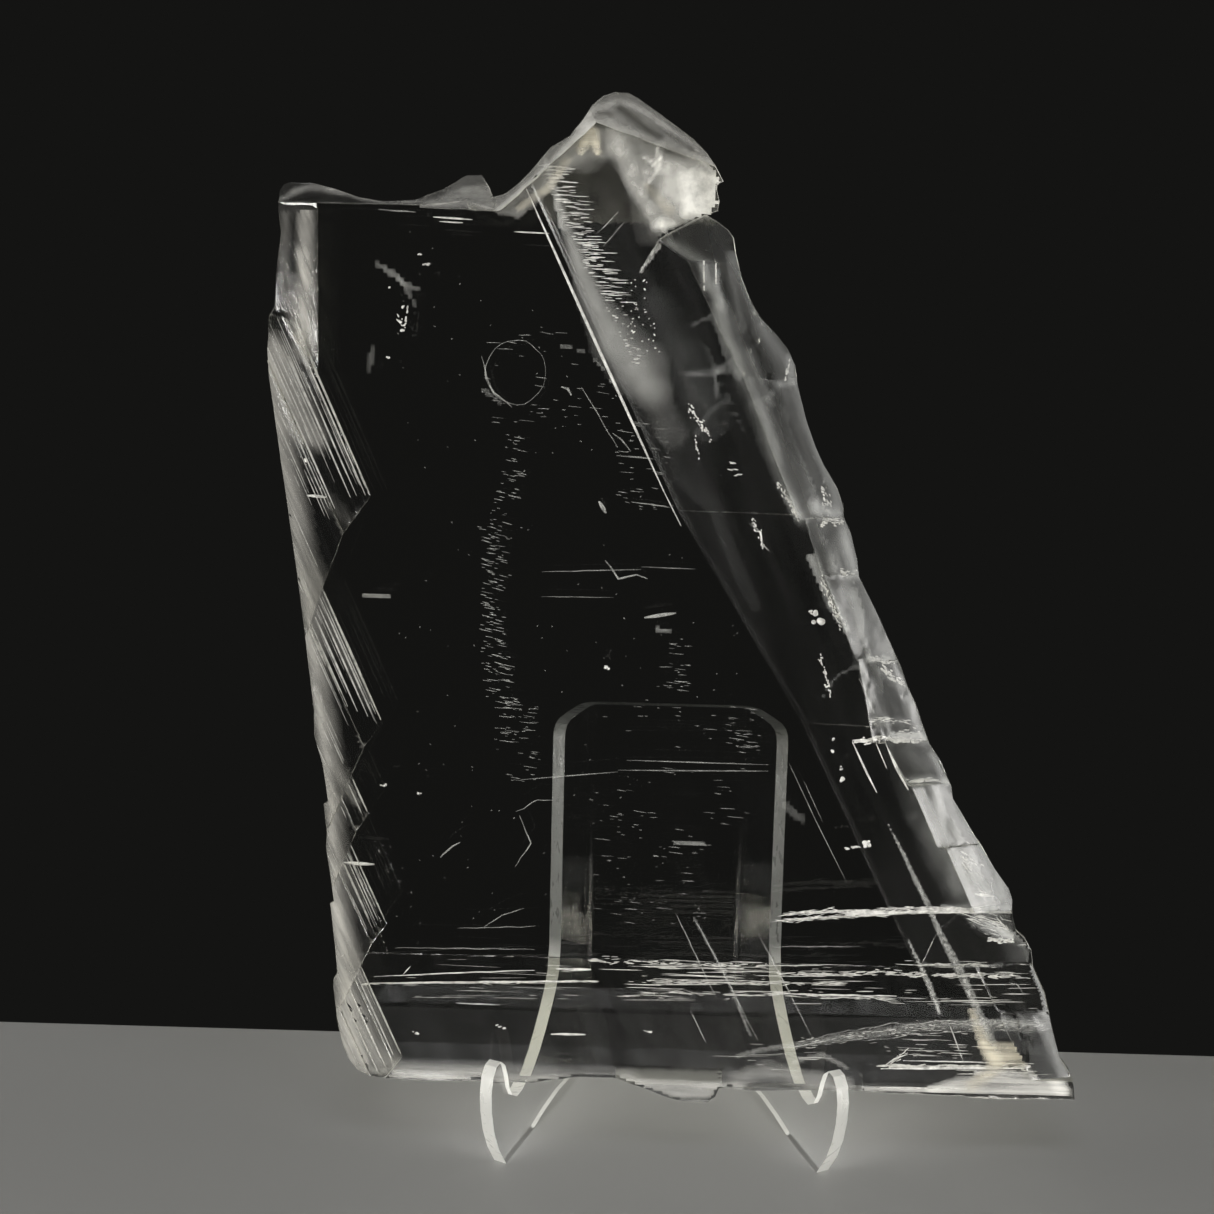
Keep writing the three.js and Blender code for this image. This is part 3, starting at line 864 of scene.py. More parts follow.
def line_rows(rng, points, count, spread_w, lengths, widths):
    """Flakes crowded along a line of (across, up, depth)."""
    rows = []
    reach = [0.0]
    for a, b in zip(points, points[1:]):
        reach.append(reach[-1] + math.hypot(b[0] - a[0], b[1] - a[1]))
    for _ in range(count):
        place = rng.uniform(0, reach[-1])
        u, w, depth = (np.interp(place, reach, [p[i] for p in points]) for i in range(3))
        i = min(np.searchsorted(reach, place, "right"), len(points) - 1)
        tilt = math.atan2(points[i][1] - points[i - 1][1], points[i][0] - points[i - 1][0])
        rows.append((u, w + rng.normal(0, spread_w), depth + rng.uniform(0, 0.6), rng.uniform(*lengths),
                     rng.uniform(*widths), tilt + rng.normal(0, 0.12)))
    return rows


COMB_LEFT = [
    (-32.5, 205), (-30, 200), (-27, 194), (-24.5, 189), (-21.5, 183), (-18, 177.5), (-14, 170), (-12, 165),
]
COMB_RIGHT = [
    (-26, 205), (-24, 202), (-20, 194), (-18, 189), (-15.5, 183), (-12.5, 177.5), (-10, 170), (-9, 165),
]
COMB_HEIGHTS = np.arange(164, 205, 0.85)
COMB_DENSE_ABOVE = 178
COMB_LONG_ABOVE = 176


def make_comb(tree, material):
    """The veil of short level dashes right of the cleavage line, with grains beside its lower half."""
    rng = np.random.default_rng(SEED + 1)
    rows = []
    for w in COMB_HEIGHTS:
        edge_left = edge_at(COMB_LEFT, w)
        edge_right = edge_at(COMB_RIGHT, w)
        for _ in range(5 if w > COMB_DENSE_ABOVE else 2):
            length = rng.uniform(1.2, 4.8) if w > COMB_LONG_ABOVE else rng.uniform(0.3, 1.4)
            u = edge_left + length / 2 + (edge_right - edge_left) * rng.uniform() ** 1.6 * 0.7
            rows.append((u, w + rng.normal(0, 0.25), rng.uniform(2.4, 3.2), length, rng.uniform(0.1, 0.24),
                         rng.uniform(-0.08, 0.04)))
    rows += band_rows(
        rng, 40, [(-14, 182), (-11, 166)], [(-8, 182), (-5, 166)], (0.3, 0.9), (0.2, 0.4), (2, 4), (-1, 1),
    )
    make_flakes(tree, "comb_dashes", rows, material)


# Columns of dashes: count, left edge and right edge
DASH_COLUMNS = [
    (14, [(-39, 148), (-38.5, 140)], [(-33, 148), (-32.5, 140)]),
    (30, [(-41, 140), (-42, 128)], [(-33, 140), (-35, 128)]),
    (44, [(-45, 128), (-43.5, 116)], [(-37, 128), (-36.5, 116)]),
    (58, [(-44, 116), (-44, 100)], [(-38, 116), (-37, 100)]),
    (50, [(-43.5, 100), (-43, 88)], [(-36, 100), (-34, 88)]),
]
PALE_COLUMNS = [
    (56, [(-41, 88), (-40, 70)], [(-30, 88), (-29, 70)]),
    (50, [(-16, 152), (-14, 132)], [(-3, 152), (0, 132)]),
    (64, [(-18, 64), (-18, 38)], [(10, 64), (10, 38)]),
    (30, [(-4, 104), (-4, 92)], [(4, 104), (4, 92)]),
    (40, [(-44, 172), (-44, 150)], [(-16, 172), (-14, 150)]),
    (50, [(-20, 90), (-20, 60)], [(20, 90), (20, 60)]),
    (24, [(10, 86), (12, 78)], [(20, 86), (22, 78)]),
]


def make_dash_columns(tree, material, pale_material):
    """Short tilted dashes in the middle of the slab."""
    rng = np.random.default_rng(SEED + 2)
    rows = []
    for count, left, right in DASH_COLUMNS:
        rows += band_rows(rng, count, left, right, (0.8, 3.4), (0.07, 0.17), (4.5, 7.5), (-0.26, -0.1))
    pale = []
    for count, left, right in PALE_COLUMNS:
        pale += band_rows(rng, count, left, right, (0.7, 4.4), (0.08, 0.16), (5, 10), (-0.16, 0.02))
    make_flakes(tree, "pale_dashes", pale, pale_material)
    make_flakes(tree, "dash_columns", rows, material)


# Bands of level streaks: count, left edge, right edge, lengths and widths
STREAK_BANDS = [
    (70, [(-18, 30), (-18, 20)], [(52, 30), (52, 20)], (1, 20), (0.08, 0.28)),
    (26, [(-8, 28.5), (-8, 24)], [(50, 28.5), (50, 24)], (5, 26), (0.1, 0.26)),
    (26, [(-66, 28), (-66, 19)], [(-16, 28), (-16, 19)], (2, 22), (0.06, 0.16)),
    (26, [(50, 31), (50, 20)], [(88, 31), (86, 20)], (2, 20), (0.08, 0.24)),
    (34, [(50, 14), (50, 8)], [(74, 14), (74, 8)], (1, 9), (0.08, 0.22)),
    (24, [(66, 5), (66, 1)], [(90, 5), (92, 1)], (2, 12), (0.14, 0.4)),
    (16, [(10, 10), (10, 3)], [(45, 10), (45, 3)], (2, 12), (0.08, 0.2)),
]

# Lines made of crowded flakes: points (across, up, depth), count, scatter, lengths and widths
STREAK_LINES = [
    ([(-18, 29.2, 4), (0, 29, 4), (22, 28.8, 4)], 70, 0.3, (0.8, 3), (0.12, 0.3)),
    ([(24, 27.2, 4), (40, 27.4, 4), (48, 27.2, 4)], 50, 0.25, (1, 4), (0.12, 0.3)),
    ([(-6, 24.6, 4), (14, 24.8, 4), (40, 25.2, 4)], 60, 0.3, (1, 5), (0.1, 0.26)),
    ([(-6, 22, 4), (20, 22.2, 4), (52, 22, 4)], 60, 0.25, (1, 6), (0.1, 0.26)),
    ([(40, 28.6, 3), (55, 28, 3), (70, 28.2, 3), (86, 27.6, 3)], 100, 0.3, (1, 4), (0.14, 0.34)),
    ([(58, 30.6, 2.2), (70, 30.8, 2.2), (84, 30.6, 2.2)], 60, 0.15, (1, 3), (0.12, 0.26)),
    ([(-69, 22, 4.5), (-40, 23.1, 4.5), (-16, 24.1, 4.5)], 60, 0.12, (1, 4), (0.2, 0.4)),
    ([(50, 6, 2.6), (66, 6.4, 2.6), (84, 6.6, 2.6)], 80, 0.2, (1, 4), (0.3, 0.6)),
    ([(52, 6.5, 2.6), (54, 8.4, 2.6), (56, 10, 2.6)], 24, 0.3, (0.5, 1.6), (0.2, 0.4)),
    ([(30, 10.4, 4), (38, 11.8, 4), (48, 13.4, 4), (58, 15.2, 4), (68, 16, 4), (86, 15.8, 4)], 150, 0.8,
     (0.5, 2.2), (0.06, 0.16)),
]


def make_streak_band(tree, material):
    """Level streaks along the foot of the slab, thickest in the right half."""
    rng = np.random.default_rng(SEED + 3)
    rows = []
    for count, left, right, lengths, widths in STREAK_BANDS:
        rows += band_rows(rng, count, left, right, lengths, widths, (3.5, 7), (-0.03, 0.04))
    for points, count, spread_w, lengths, widths in STREAK_LINES:
        rows += line_rows(rng, points, count, spread_w, lengths, widths)
    make_flakes(tree, "streak_band", rows, material)


# Crushed rock on the ledges, in the same way
LEDGE_LINES = [
    ([(31, 131, 2.4), (36.4, 130.6, 3.4)], 50, 0.5, (0.4, 1.5), (0.2, 0.45)),
    ([(36, 119.6, 2.6), (39.6, 119.3, 3.6)], 26, 0.35, (0.4, 1.3), (0.2, 0.4)),
    ([(43.2, 100.7, 1.6), (46, 100.2, 2), (50, 100.4, 3.4)], 70, 0.35, (0.4, 1.6), (0.25, 0.5)),
    ([(46, 98.6, 2.6), (48, 96.6, 3), (51.6, 94.6, 4)], 46, 0.5, (0.4, 1.5), (0.25, 0.5)),
    ([(52.2, 93.4, 4), (53.2, 92, 4.4)], 10, 0.2, (0.3, 0.8), (0.3, 0.5)),
    ([(40.4, 82.2, 0.9), (47, 82.9, 1.6), (50, 82.2, 2.2), (56.6, 82.3, 3)], 130, 0.3,
     (0.5, 2.2), (0.3, 0.6)),
    ([(50, 83.2, 2.8), (54, 83.6, 3.2), (56, 83, 3.6)], 60, 0.6, (0.5, 2.2), (0.2, 0.5)),
    ([(44, 86.8, 2.4), (53, 86.4, 3.4)], 30, 0.3, (0.5, 2), (0.1, 0.24)),
    ([(52.4, 72.9, 2.9), (58, 73.4, 3), (62, 72.8, 3.6)], 46, 0.25, (0.5, 2), (0.2, 0.4)),
    ([(40, 42.6, 1.2), (50, 43, 1.2), (60, 43.6, 1.2), (77, 43.8, 1.4)], 120, 0.16, (3, 9), (0.14, 0.34)),
    ([(48, 43.8, 1.4), (60, 44.2, 1.4), (77, 44.4, 1.6)], 80, 0.2, (2, 7), (0.1, 0.26)),
    ([(25, 40.2, 1.6), (34, 41.2, 1.6), (48, 42.4, 1.6)], 50, 0.08, (3, 9), (0.14, 0.3)),
    ([(28, 42.2, 1.6), (36, 42.8, 1.6), (46, 43.3, 1.6)], 46, 0.22, (2, 8), (0.14, 0.3)),
    ([(68, 42.6, 2), (73, 41, 2.4), (77, 39.6, 3)], 40, 1.0, (2, 5), (0.1, 0.22)),
    ([(75, 41, 3), (78, 37.6, 3.4)], 26, 0.9, (1.4, 4), (0.1, 0.24)),
    ([(73, 36.8, 2.4), (78.6, 36.6, 3)], 50, 0.3, (0.5, 1.6), (0.25, 0.5)),
    ([(66, 56, 2), (71, 52, 2.4), (76, 47, 3)], 90, 1.8, (0.8, 3.6), (0.1, 0.3)),
    ([(70, 47.4, 2.4), (76.6, 46.6, 3)], 40, 0.3, (1, 4), (0.2, 0.4)),
    ([(22.2, 162, 1.6), (23, 164.6, 1.6)], 20, 0.6, (0.3, 0.9), (0.2, 0.4)),
    ([(31, 136, 2.6), (33.4, 133.6, 3)], 50, 1.2, (0.3, 1.0), (0.2, 0.4)),
    ([(21, 139, 1.6), (23.4, 135.4, 1.6), (26, 131.4, 1.6)], 60, 0.5, (0.3, 0.8), (0.2, 0.35)),
    ([(31.6, 118, 2), (34.4, 112, 2), (37, 107.6, 2.4)], 90, 0.8, (0.3, 0.9), (0.16, 0.35)),
    ([(3.6, 186, 2), (3.8, 180, 2)], 26, 0.4, (0.3, 0.9), (0.3, 0.5)),
    ([(6.2, 186, 2), (6.4, 181, 2)], 22, 0.4, (0.3, 0.8), (0.3, 0.45)),
    ([(1, 156, 4), (3.4, 151.6, 4), (6.6, 149, 4)], 46, 0.7, (0.3, 0.9), (0.2, 0.4)),
    ([(3, 148, 4), (4, 144, 4)], 12, 0.7, (0.3, 0.7), (0.2, 0.35)),
    ([(16, 130.4, 4), (18, 127.4, 4), (18.6, 124.6, 4)], 40, 0.6, (0.3, 0.9), (0.2, 0.4)),
    ([(32.4, 100.6, 5), (33.6, 97, 5), (35, 92.4, 5)], 30, 0.7, (0.3, 0.7), (0.2, 0.4)),
    ([(-62.4, 172.6, 5), (-60.6, 170.4, 5), (-60, 175, 5)], 16, 0.6, (0.3, 1.1), (0.25, 0.5)),
]
LEDGE_BEHIND = 0.45


def make_ledges(tree, material):
    """Bright crushed rock along the ledges and ridges of the right margin."""
    rng = np.random.default_rng(SEED + 5)
    rows = []
    for points, count, spread_w, lengths, widths in LEDGE_LINES:
        for row in line_rows(rng, points, count, spread_w, lengths, widths):
            front = front_of(tree, row[0], row[1])
            if front is not None:
                rows.append((row[0], row[1], max(row[2], front + LEDGE_BEHIND), *row[3:]))
    make_flakes(tree, "ledge_flakes", rows, material)


# Striations of the five sawtooth bevels: foot, length, width and number of threads
SAWTEETH = [
    ((-67.5, 134.3), 46, 15, 42),
    ((-64.8, 84), 60, 9, 34),
    ((-67.8, 63), 28, 6, 12),
    ((-63.7, 37.5), 32, 8, 12),
    ((-60, 6), 41, 12, 16),
]
# Single long threads: foot, length and half width
LONG_THREADS = [
    ((-67.7, 134.6), 42, 0.26), ((-68.6, 134.2), 36, 0.2), ((-70.6, 134), 30, 0.16), ((-72, 133.6), 34, 0.2),
    ((-75.6, 131), 26, 0.2), ((-77, 131), 20, 0.14), ((-65, 84.4), 58, 0.28), ((-66.4, 84), 44, 0.16),
    ((-68, 85), 40, 0.2), ((-70.4, 86), 34, 0.2), ((-72.6, 87), 26, 0.14), ((-68, 63.4), 26, 0.22),
    ((-69.4, 63), 22, 0.16), ((-63.9, 38), 30, 0.2), ((-65.6, 38), 26, 0.14), ((-67.6, 38), 22, 0.14),
    ((-60.2, 6.5), 38, 0.22), ((-62, 6), 34, 0.2), ((-65, 5), 30, 0.16), ((-68, 6), 26, 0.2),
]
DEEPEST_THREAD = 9
THREAD_JUMP = 0.9
THREAD_LIFT = 0.03
LONG_THREAD_DEPTH = 0.08
FINE_THREAD_DEPTH = 0.04


def thread_points(tree, start, reach):
    """Points up the grain from a place, laid on the surface until it drops away."""
    points = []
    for run in np.arange(0, reach, 1.0):
        u, w = np.array(start) - GRAIN_ALONG * run
        front = front_of(tree, u, w)
        if front is None or front > DEEPEST_THREAD or (points and abs(points[-1][2] + front) > THREAD_JUMP):
            break
        points.append((u, w, THREAD_LIFT - front))
    return points


def make_bevel_threads(tree, material):
    """Silky threads on the left bevels: the long ones as placed, then fine ones scattered over each bevel."""
    rng = np.random.default_rng(SEED + 4)
    work = bmesh.new()
    for start, reach, width in LONG_THREADS:
        points = thread_points(tree, start, reach)
        if len(points) > 2:
            blade_into(work, points, width, LONG_THREAD_DEPTH)
    for foot, length, width, count in SAWTEETH:
        for _ in range(count):
            offset = width * rng.uniform() ** 1.3
            base = np.array(foot) + GRAIN_ACROSS * offset
            start = base - GRAIN_ALONG * rng.uniform(-0.5 * offset, length * 0.7)
            points = thread_points(tree, start, 3 + length * 0.6 * rng.uniform() ** 1.5)
            if len(points) > 2:
                blade_into(work, points, rng.uniform(0.04, 0.11), FINE_THREAD_DEPTH)
    finish_blades(work, "bevel_threads", material)


# Soft veils inside and on the broken faces: points are (across, up, radius), then the strength

FOG = [
    ([(-28.6, 200, 1.4), (-24.2, 188, 3), (-20, 177, 4.8), (-14.6, 168.6, 8), (-9.6, 163, 9), (-7, 159, 6.4)],
     0.07),
    ([(-26.6, 194, 1.2), (-22, 182, 2.6), (-16, 169, 4), (-10.6, 162.5, 5.0), (-9, 160.4, 4)], 0.06),
    ([(-7, 158, 5), (-4, 153, 6), (-2, 149, 6)], 0.022),
    ([(-30.5, 206, 1.2), (-28.4, 199, 1.3), (-26.8, 192, 1.2)], 0.22),
]

CLOUDS = [
    ([(-67, 184, 1.4), (-64, 182.4, 1.6), (-61, 180, 1.4), (-58, 179, 1)], 0.1),
    ([(-62, 181, 1), (-58.4, 175, 1.2)], 0.07),
    ([(-68, 166, 1.4), (-68.6, 161, 1.2)], 0.05),
    ([(-27, 167.4, 1), (-22, 166.6, 1), (-18, 163.6, 1), (-14, 158, 0.8)], 0.1),
    ([(-4, 105.6, 1.4), (-1, 105.4, 1)], 0.12),
    ([(1.6, 56.8, 1.2), (7.6, 56.4, 1.2)], 0.14),
    ([(-70, 111.8, 1.1), (-64, 111.4, 1.1)], 0.26),
    ([(-44, 158, 1.4), (-40, 155, 1.2)], 0.06),
    ([(26, 66, 2), (30, 63, 2)], 0.04),
]

CROSS_BANDS = [
    ([(49, 63, 0.5), (53, 56, 0.8), (56, 50, 1.0), (59, 44.5, 1.1), (62, 38, 1.1), (66, 31, 1.5),
      (70.6, 22, 1.4), (75, 13, 1.7), (77.6, 8, 1.4)], 0.22),
    ([(55, 36, 0.5), (57, 32, 0.8), (60, 26, 1.1), (62.4, 20.6, 1.0), (63, 18.6, 0.7)], 0.26),
    ([(17, 7, 1), (22, 8.6, 1.1), (27, 9.6, 1.2), (33, 10.6, 1.3), (40, 12.2, 1.5), (48, 13.4, 1.8),
      (60, 15.6, 2), (75, 16.4, 2), (88, 15.6, 1.6)], 0.1),
    ([(6, 40, 0.7), (14, 26, 0.8), (20, 12, 0.8)], 0.1),
]

FOOT_FROST = [
    ([(-70, 1, 5), (-40, 2, 4), (-20, 2, 3.6), (-8, 2.4, 3)], 0.09),
    ([(-8, 2.4, 3), (14, 2.4, 5), (18, 2, 3)], 0.03),
    ([(-64, 0.8, 2), (-20, 0.8, 1.6), (18, 0.8, 1.6)], 0.16),
    ([(-68, 2.6, 2.4), (-52, 1.8, 2.6), (-38, 2.4, 1.8)], 0.16),
    ([(17, 2.4, 3), (24, 5, 3.4), (32, 3, 3.4), (42, 2, 3)], 0.12),
    ([(-10, 0, 3), (2, -1.4, 3), (12, -0.6, 3)], 0.28),
    ([(30, 7, 1.2), (36, 9, 1.2), (42, 6, 1.2)], 0.1),
]

CORNER_FROST = [
    ([(46, 0.6, 1), (60, 0.8, 1.2), (70, 0.8, 1.6), (92, 0.8, 2.2)], 0.5),
    ([(62, 0.6, 2), (68, 2.4, 2.6), (76, 3.2, 2.2), (91, 2.8, 2.6)], 0.4),
    ([(87, 7.6, 1.6), (92, 1, 2.8)], 0.5),
    ([(72, 5.4, 1.2), (86, 5.2, 1.2)], 0.3),
]

CAP_STAIN = [
    ([(-23, 208.4, 1.8), (-21, 212, 2.2), (-19.6, 208, 1.4)], 0.5),
    ([(-26, 206, 1.6), (-30, 200, 1.6), (-36, 196, 1.4)], 0.16),
    ([(-4, 196, 2), (-9, 201, 1.4)], 0.12),
]

STAIN = [
    ([(73, 12, 2), (76, 9, 3.4), (82, 9.8, 4.4), (90, 9.4, 4)], 0.42),
    ([(70, 20, 1.4), (73, 13, 2.2), (77, 7, 2.4), (71, 2, 2.6)], 0.3),
    ([(76, 12, 1.4), (90, 12, 1.6)], 0.2),
    ([(84, 13, 1), (86, 6, 1.2)], 0.3),
]

# What the right half's haze is made of, over an even grey
HAZE_FOLDS = [
    ([(-4, 190, 1.4), (3, 186, 1.8), (6.6, 178, 1.8), (9, 170, 2), (13, 161, 2.2), (17, 154, 2.2),
      (20, 146, 1.8), (22, 139, 1.8), (26.6, 131, 1.6)], 0.13),
    ([(3.6, 186, 1.0), (4, 180, 1.0)], 0.16),
    ([(-2, 150, 5), (3, 138, 6), (10, 124, 5), (16, 112, 4)], 0.008),
    ([(-6, 176, 6), (0, 166, 7), (6, 152, 6)], 0.018),
    ([(8, 176, 3), (14, 160, 4), (22, 142, 4), (27, 131, 3)], 0.05),
    ([(5, 168, 0.7), (7, 163, 0.8), (7.6, 157, 0.7)], 0.08),
    ([(9, 160, 0.6), (12.4, 152, 0.8), (15, 146, 0.6)], 0.06),
    ([(10, 157, 0.8), (6, 154, 0.8), (3, 149, 0.8)], 0.05),
    ([(16, 172, 2), (20, 166, 2.4), (23, 158, 2)], 0.05),
    ([(6.2, 186, 0.9), (6.6, 181, 1.0), (8, 176, 1.2)], 0.14),
    ([(9, 188, 1.2), (10.4, 180, 1.2), (12.6, 172, 1.4)], 0.05),
    ([(2, 172.4, 0.8), (5.6, 174.6, 0.9), (7.4, 170, 0.9), (8.6, 166, 0.9)], 0.08),
    ([(0.6, 161.8, 0.8), (7, 162.6, 1), (10.4, 165, 1), (12, 161.4, 0.8)], 0.09),
    ([(7, 162.4, 1.4), (10.6, 163.2, 1.6)], 0.06),
    ([(14, 167, 1.4), (17, 160, 1.8), (19, 156, 1.6)], 0.05),
    ([(18, 157, 0.8), (22, 161, 0.8)], 0.06),
    ([(20.4, 160.4, 0.8), (24, 160.4, 0.8)], 0.16),
    ([(23, 166, 1.6), (23.6, 161, 1.4)], 0.2),
    ([(28, 153, 1.6), (31.6, 144, 2), (34.4, 138, 2.4), (35.6, 133, 2.4)], 0.16),
    ([(30, 134, 2.6), (34, 132.4, 2.2)], 0.34),
    ([(23.6, 135.6, 1.2), (26.2, 131.6, 1.2)], 0.2),
    ([(29, 123, 1.4), (31.4, 118, 1.6), (34.4, 112, 1.8), (37.4, 107.2, 1.4)], 0.3),
    ([(37, 129, 2.2), (38.6, 121, 2.2)], 0.3),
    ([(36, 126, 3), (35, 121, 3)], 0.12),
    ([(38, 119, 1.6), (40, 119, 1.6)], 0.3),
    ([(39, 114, 2.6), (42, 106, 3), (47, 101.4, 2.6)], 0.14),
    ([(43, 101, 1.2), (50, 100.6, 1.4)], 0.36),
    ([(46, 98, 1.6), (51, 94.6, 1.8)], 0.16),
    ([(41, 99, 1), (43, 92, 1), (44.6, 88, 0.8)], 0.07),
    ([(33, 92, 0.9), (36, 96.6, 0.9), (40, 99, 0.8)], 0.07),
    ([(44, 86.8, 1.2), (53, 86.6, 1.6)], 0.1),
    ([(49, 83.4, 1.2), (56.4, 83, 2)], 0.4),
    ([(52, 90, 1.6), (55, 85, 2)], 0.05),
    ([(52, 80, 2.6), (57, 76, 3)], 0.05),
    ([(53, 73.2, 1), (58, 73.6, 1.4), (62, 72.6, 1.6)], 0.24),
    ([(58, 79, 1.2), (61.6, 73, 1.4)], 0.2),
    ([(60, 68, 4), (66, 62, 4)], 0.08),
    ([(64, 69, 1.4), (70, 60, 2), (76, 50, 2.4)], 0.24),
    ([(68, 52, 3), (75, 47, 3)], 0.3),
    ([(55, 65, 2.6), (62, 55, 3), (66, 48, 3)], 0.04),
    ([(60, 44, 1.2), (70, 44.2, 1.5), (77, 44, 1.6)], 0.4),
    ([(70, 41.6, 2), (75, 39, 2.4), (78, 37.6, 1.8)], 0.42),
    ([(80, 39, 1.6), (82.6, 34, 2), (84, 30, 1.6)], 0.2),
    ([(84.6, 28, 1.4), (87, 21, 1.8), (88, 18, 1.6)], 0.2),
    ([(58, 30.7, 0.9), (84, 30.7, 1)], 0.14),
    ([(70, 17, 1.2), (80, 17.2, 1.4), (88, 16.4, 1.4)], 0.14),
    ([(88, 14, 1.4), (90.6, 8, 1.6), (93, 3, 1.6)], 0.24),
]

# The pale right margin: its thin rim, then the broad glow beside it
RIGHT_RIM = [
    ([(10.5, 187, 2.4), (16, 174, 2.4), (24, 163, 2.6), (27, 152, 2.4), (34, 138.5, 2.4), (36, 131, 2.2),
      (39, 121, 2.2), (47, 105, 2.4), (53, 91, 2.4), (57, 82, 2.4), (62.3, 72.8, 2.4), (68, 61.8, 2.6),
      (76, 49.5, 2.6), (77.5, 43, 2.4), (83, 31.5, 2.6), (88, 17, 2.8), (93.5, 4, 2.8)], 0.08),
]
RIGHT_GLOW = [
    ([(24, 160, 5), (31, 143, 8), (38, 124, 9), (47, 105, 10), (57, 82, 12), (64, 69, 14), (76, 50, 14)],
     0.055),
    ([(62, 60, 8), (68, 52, 9), (74, 46, 7)], 0.06),
    ([(80, 38, 6), (84, 29, 7), (88, 17, 8), (93, 4, 8)], 0.035),
]

# Patches are corners, the width of their soft edge, and the strength
HAZE_REGION = [(
    [(-33, 198), (-20, 172), (-4, 138), (6, 132), (12, 117), (22, 100), (30, 82), (44, 60), (58, 30), (64, 6),
     (100, -6), (100, 200), (-10, 200)], 3.0, 1.0,
)]

CAP_CRUST = [
    ([(-7.4, 206), (-3, 207), (3, 206.6), (8, 204), (8, 195), (3, 195), (-3, 193.6), (-6, 192)], 4, 0.3),
    ([(-2, 204), (8, 204.6), (8, 195.4), (-1, 195)], 2.6, 0.6),
    ([(-41, 195), (-30, 205), (-22, 214), (-18, 213), (-24, 206), (-30, 199), (-36, 194)], 2, 0.36),
    ([(-58, 196), (-52, 200), (-46, 203), (-42, 202), (-42, 196)], 2, 0.26),
    ([(-23, 213.6), (-19, 214), (-18.6, 207), (-24, 207)], 2, 0.34),
]
CAP_BLOOM = [
    ([(-20, 216), (-14, 219), (-6, 206), (-10, 203), (-18, 208)], 6, 0.22),
    ([(-28, 205), (-20, 214), (-6, 210), (-3, 205), (-11, 203), (-16, 207), (-21, 204)], 4, 0.2),
    ([(-16, 208), (-10, 208), (-8, 200), (-6, 190), (-10, 190), (-12, 200)], 5, 0.16),
]
CAP_LINES = [
    ([(-17, 214, 3), (-14.6, 208, 3.4), (-12.4, 203, 3), (-9.6, 198, 2.4), (-7.6, 194.6, 1.8)], 0.18),
    ([(-7, 209, 0.7), (-6.2, 205.6, 0.8), (-8.4, 202, 0.8)], 0.3),
    ([(-10, 207, 0.6), (-7.4, 205.4, 0.6), (-6.4, 206.8, 0.5)], 0.3),
    ([(-9, 204, 1.4), (-9.6, 200, 1.4), (-7.6, 196, 1.4)], 0.16),
    ([(-6, 194, 1.2), (-4.4, 190.4, 0.8), (-7, 187, 0.8), (-10, 183, 0.8)], 0.2),
    ([(-7, 193, 1.6), (-3, 193.4, 1.4)], 0.3),
    ([(-10, 214, 2.4), (-2, 209, 2), (4, 205.6, 1.6)], 0.1),
]
CAP_HOLLOW = [([(-24, 206), (-19, 204), (-13, 199), (-11, 186), (-19, 186)], 4, 1.0)]
CAP_SHOULDER = [([(-4, 195), (4, 196.4), (12, 195), (12, 184), (-4, 186)], 1.5, 1.0)]

# Where the cap is smoky, and its paler rim
CAP_SHADE = [
    ([(-15.3, 218, 2), (-10.3, 213.8, 2.2), (-6.5, 211.4, 1.6)], 0.9),
    ([(-21, 216.4, 0.9), (-17, 215.8, 1)], 0.7),
    ([(-4, 213, 2.4), (1, 209.6, 2), (4.6, 206.4, 1.6)], 0.5),
]
CAP_RIM = [
    ([(-24, 213, 1.2), (-20, 217.4, 1.3), (-15, 219.6, 1.3), (-10, 217.6, 1.1), (-5, 214, 1.1), (1, 210, 1.1),
      (5, 205.8, 1.1), (7.2, 202, 1.1)], 0.3),
]

# The frosted rim round the hollow fracture at the upper left
SCOOP_RIM = [
    ([(-89, 198, 1.6), (-87, 200.6, 1.6), (-84, 201.8, 1.6), (-80, 201.6, 1.6), (-75, 200.4, 1.6),
      (-70, 198.8, 1.6), (-65, 197.8, 1.4), (-57, 198.4, 1.4)], 0.24),
    ([(-87, 196.6, 0.8), (-70, 196.4, 0.6), (-57, 196.2, 0.6)], 0.03),
]

# Sheen of the left bevels, and where it is dark
SILK_SHEEN = [
    ([(-88, 163, 6), (-85, 152, 7), (-80, 146, 4)], 0.17),
    ([(-85, 175, 3), (-82, 168, 3)], 0.1),
    ([(-81.6, 196, 2.8), (-81.8, 165, 3.4)], 0.3),
    ([(-86.6, 195, 2), (-87, 178, 2)], 0.06),
    ([(-83, 186, 1.6), (-82, 182, 1.6), (-80.8, 179, 1)], 0.3),
    ([(-90, 166, 4), (-89, 154, 4), (-86, 140, 4), (-83, 118, 4.4), (-79, 92, 4.4), (-76.6, 62, 4.4),
      (-75.6, 40, 5), (-74, 20, 6), (-70, 4, 7)], 0.16),
    ([(-91, 156, 2.4), (-86.6, 134, 2), (-80, 92, 1.8), (-76.8, 62, 1.8), (-75, 30, 2.4), (-72, 8, 3)], 0.14),
    ([(-79, 134, 3), (-72, 128, 2)], 0.03),
    ([(-81, 118, 3.4), (-73, 100, 3), (-67, 88, 2)], 0.05),
    ([(-77, 74, 3), (-71, 66, 2)], 0.07),
    ([(-74, 50, 4), (-68, 42, 3)], 0.03),
    ([(-75, 40, 3), (-73, 30, 4), (-71, 18, 8), (-68, 8, 9)], 0.15),
    ([(-75, 14, 4), (-71, 4, 4)], 0.16),
    ([(-64, 4, 5), (-60, 3, 4)], 0.12),
]
SILK_GAPS = [
    ([(-82, 143, 3.4), (-79.4, 133, 3.6)], 1.0),
    ([(-77, 97, 2.6), (-74.6, 88, 3)], 1.0),
    ([(-70, 138, 1.4), (-74, 150, 1.2)], 0.7),
]


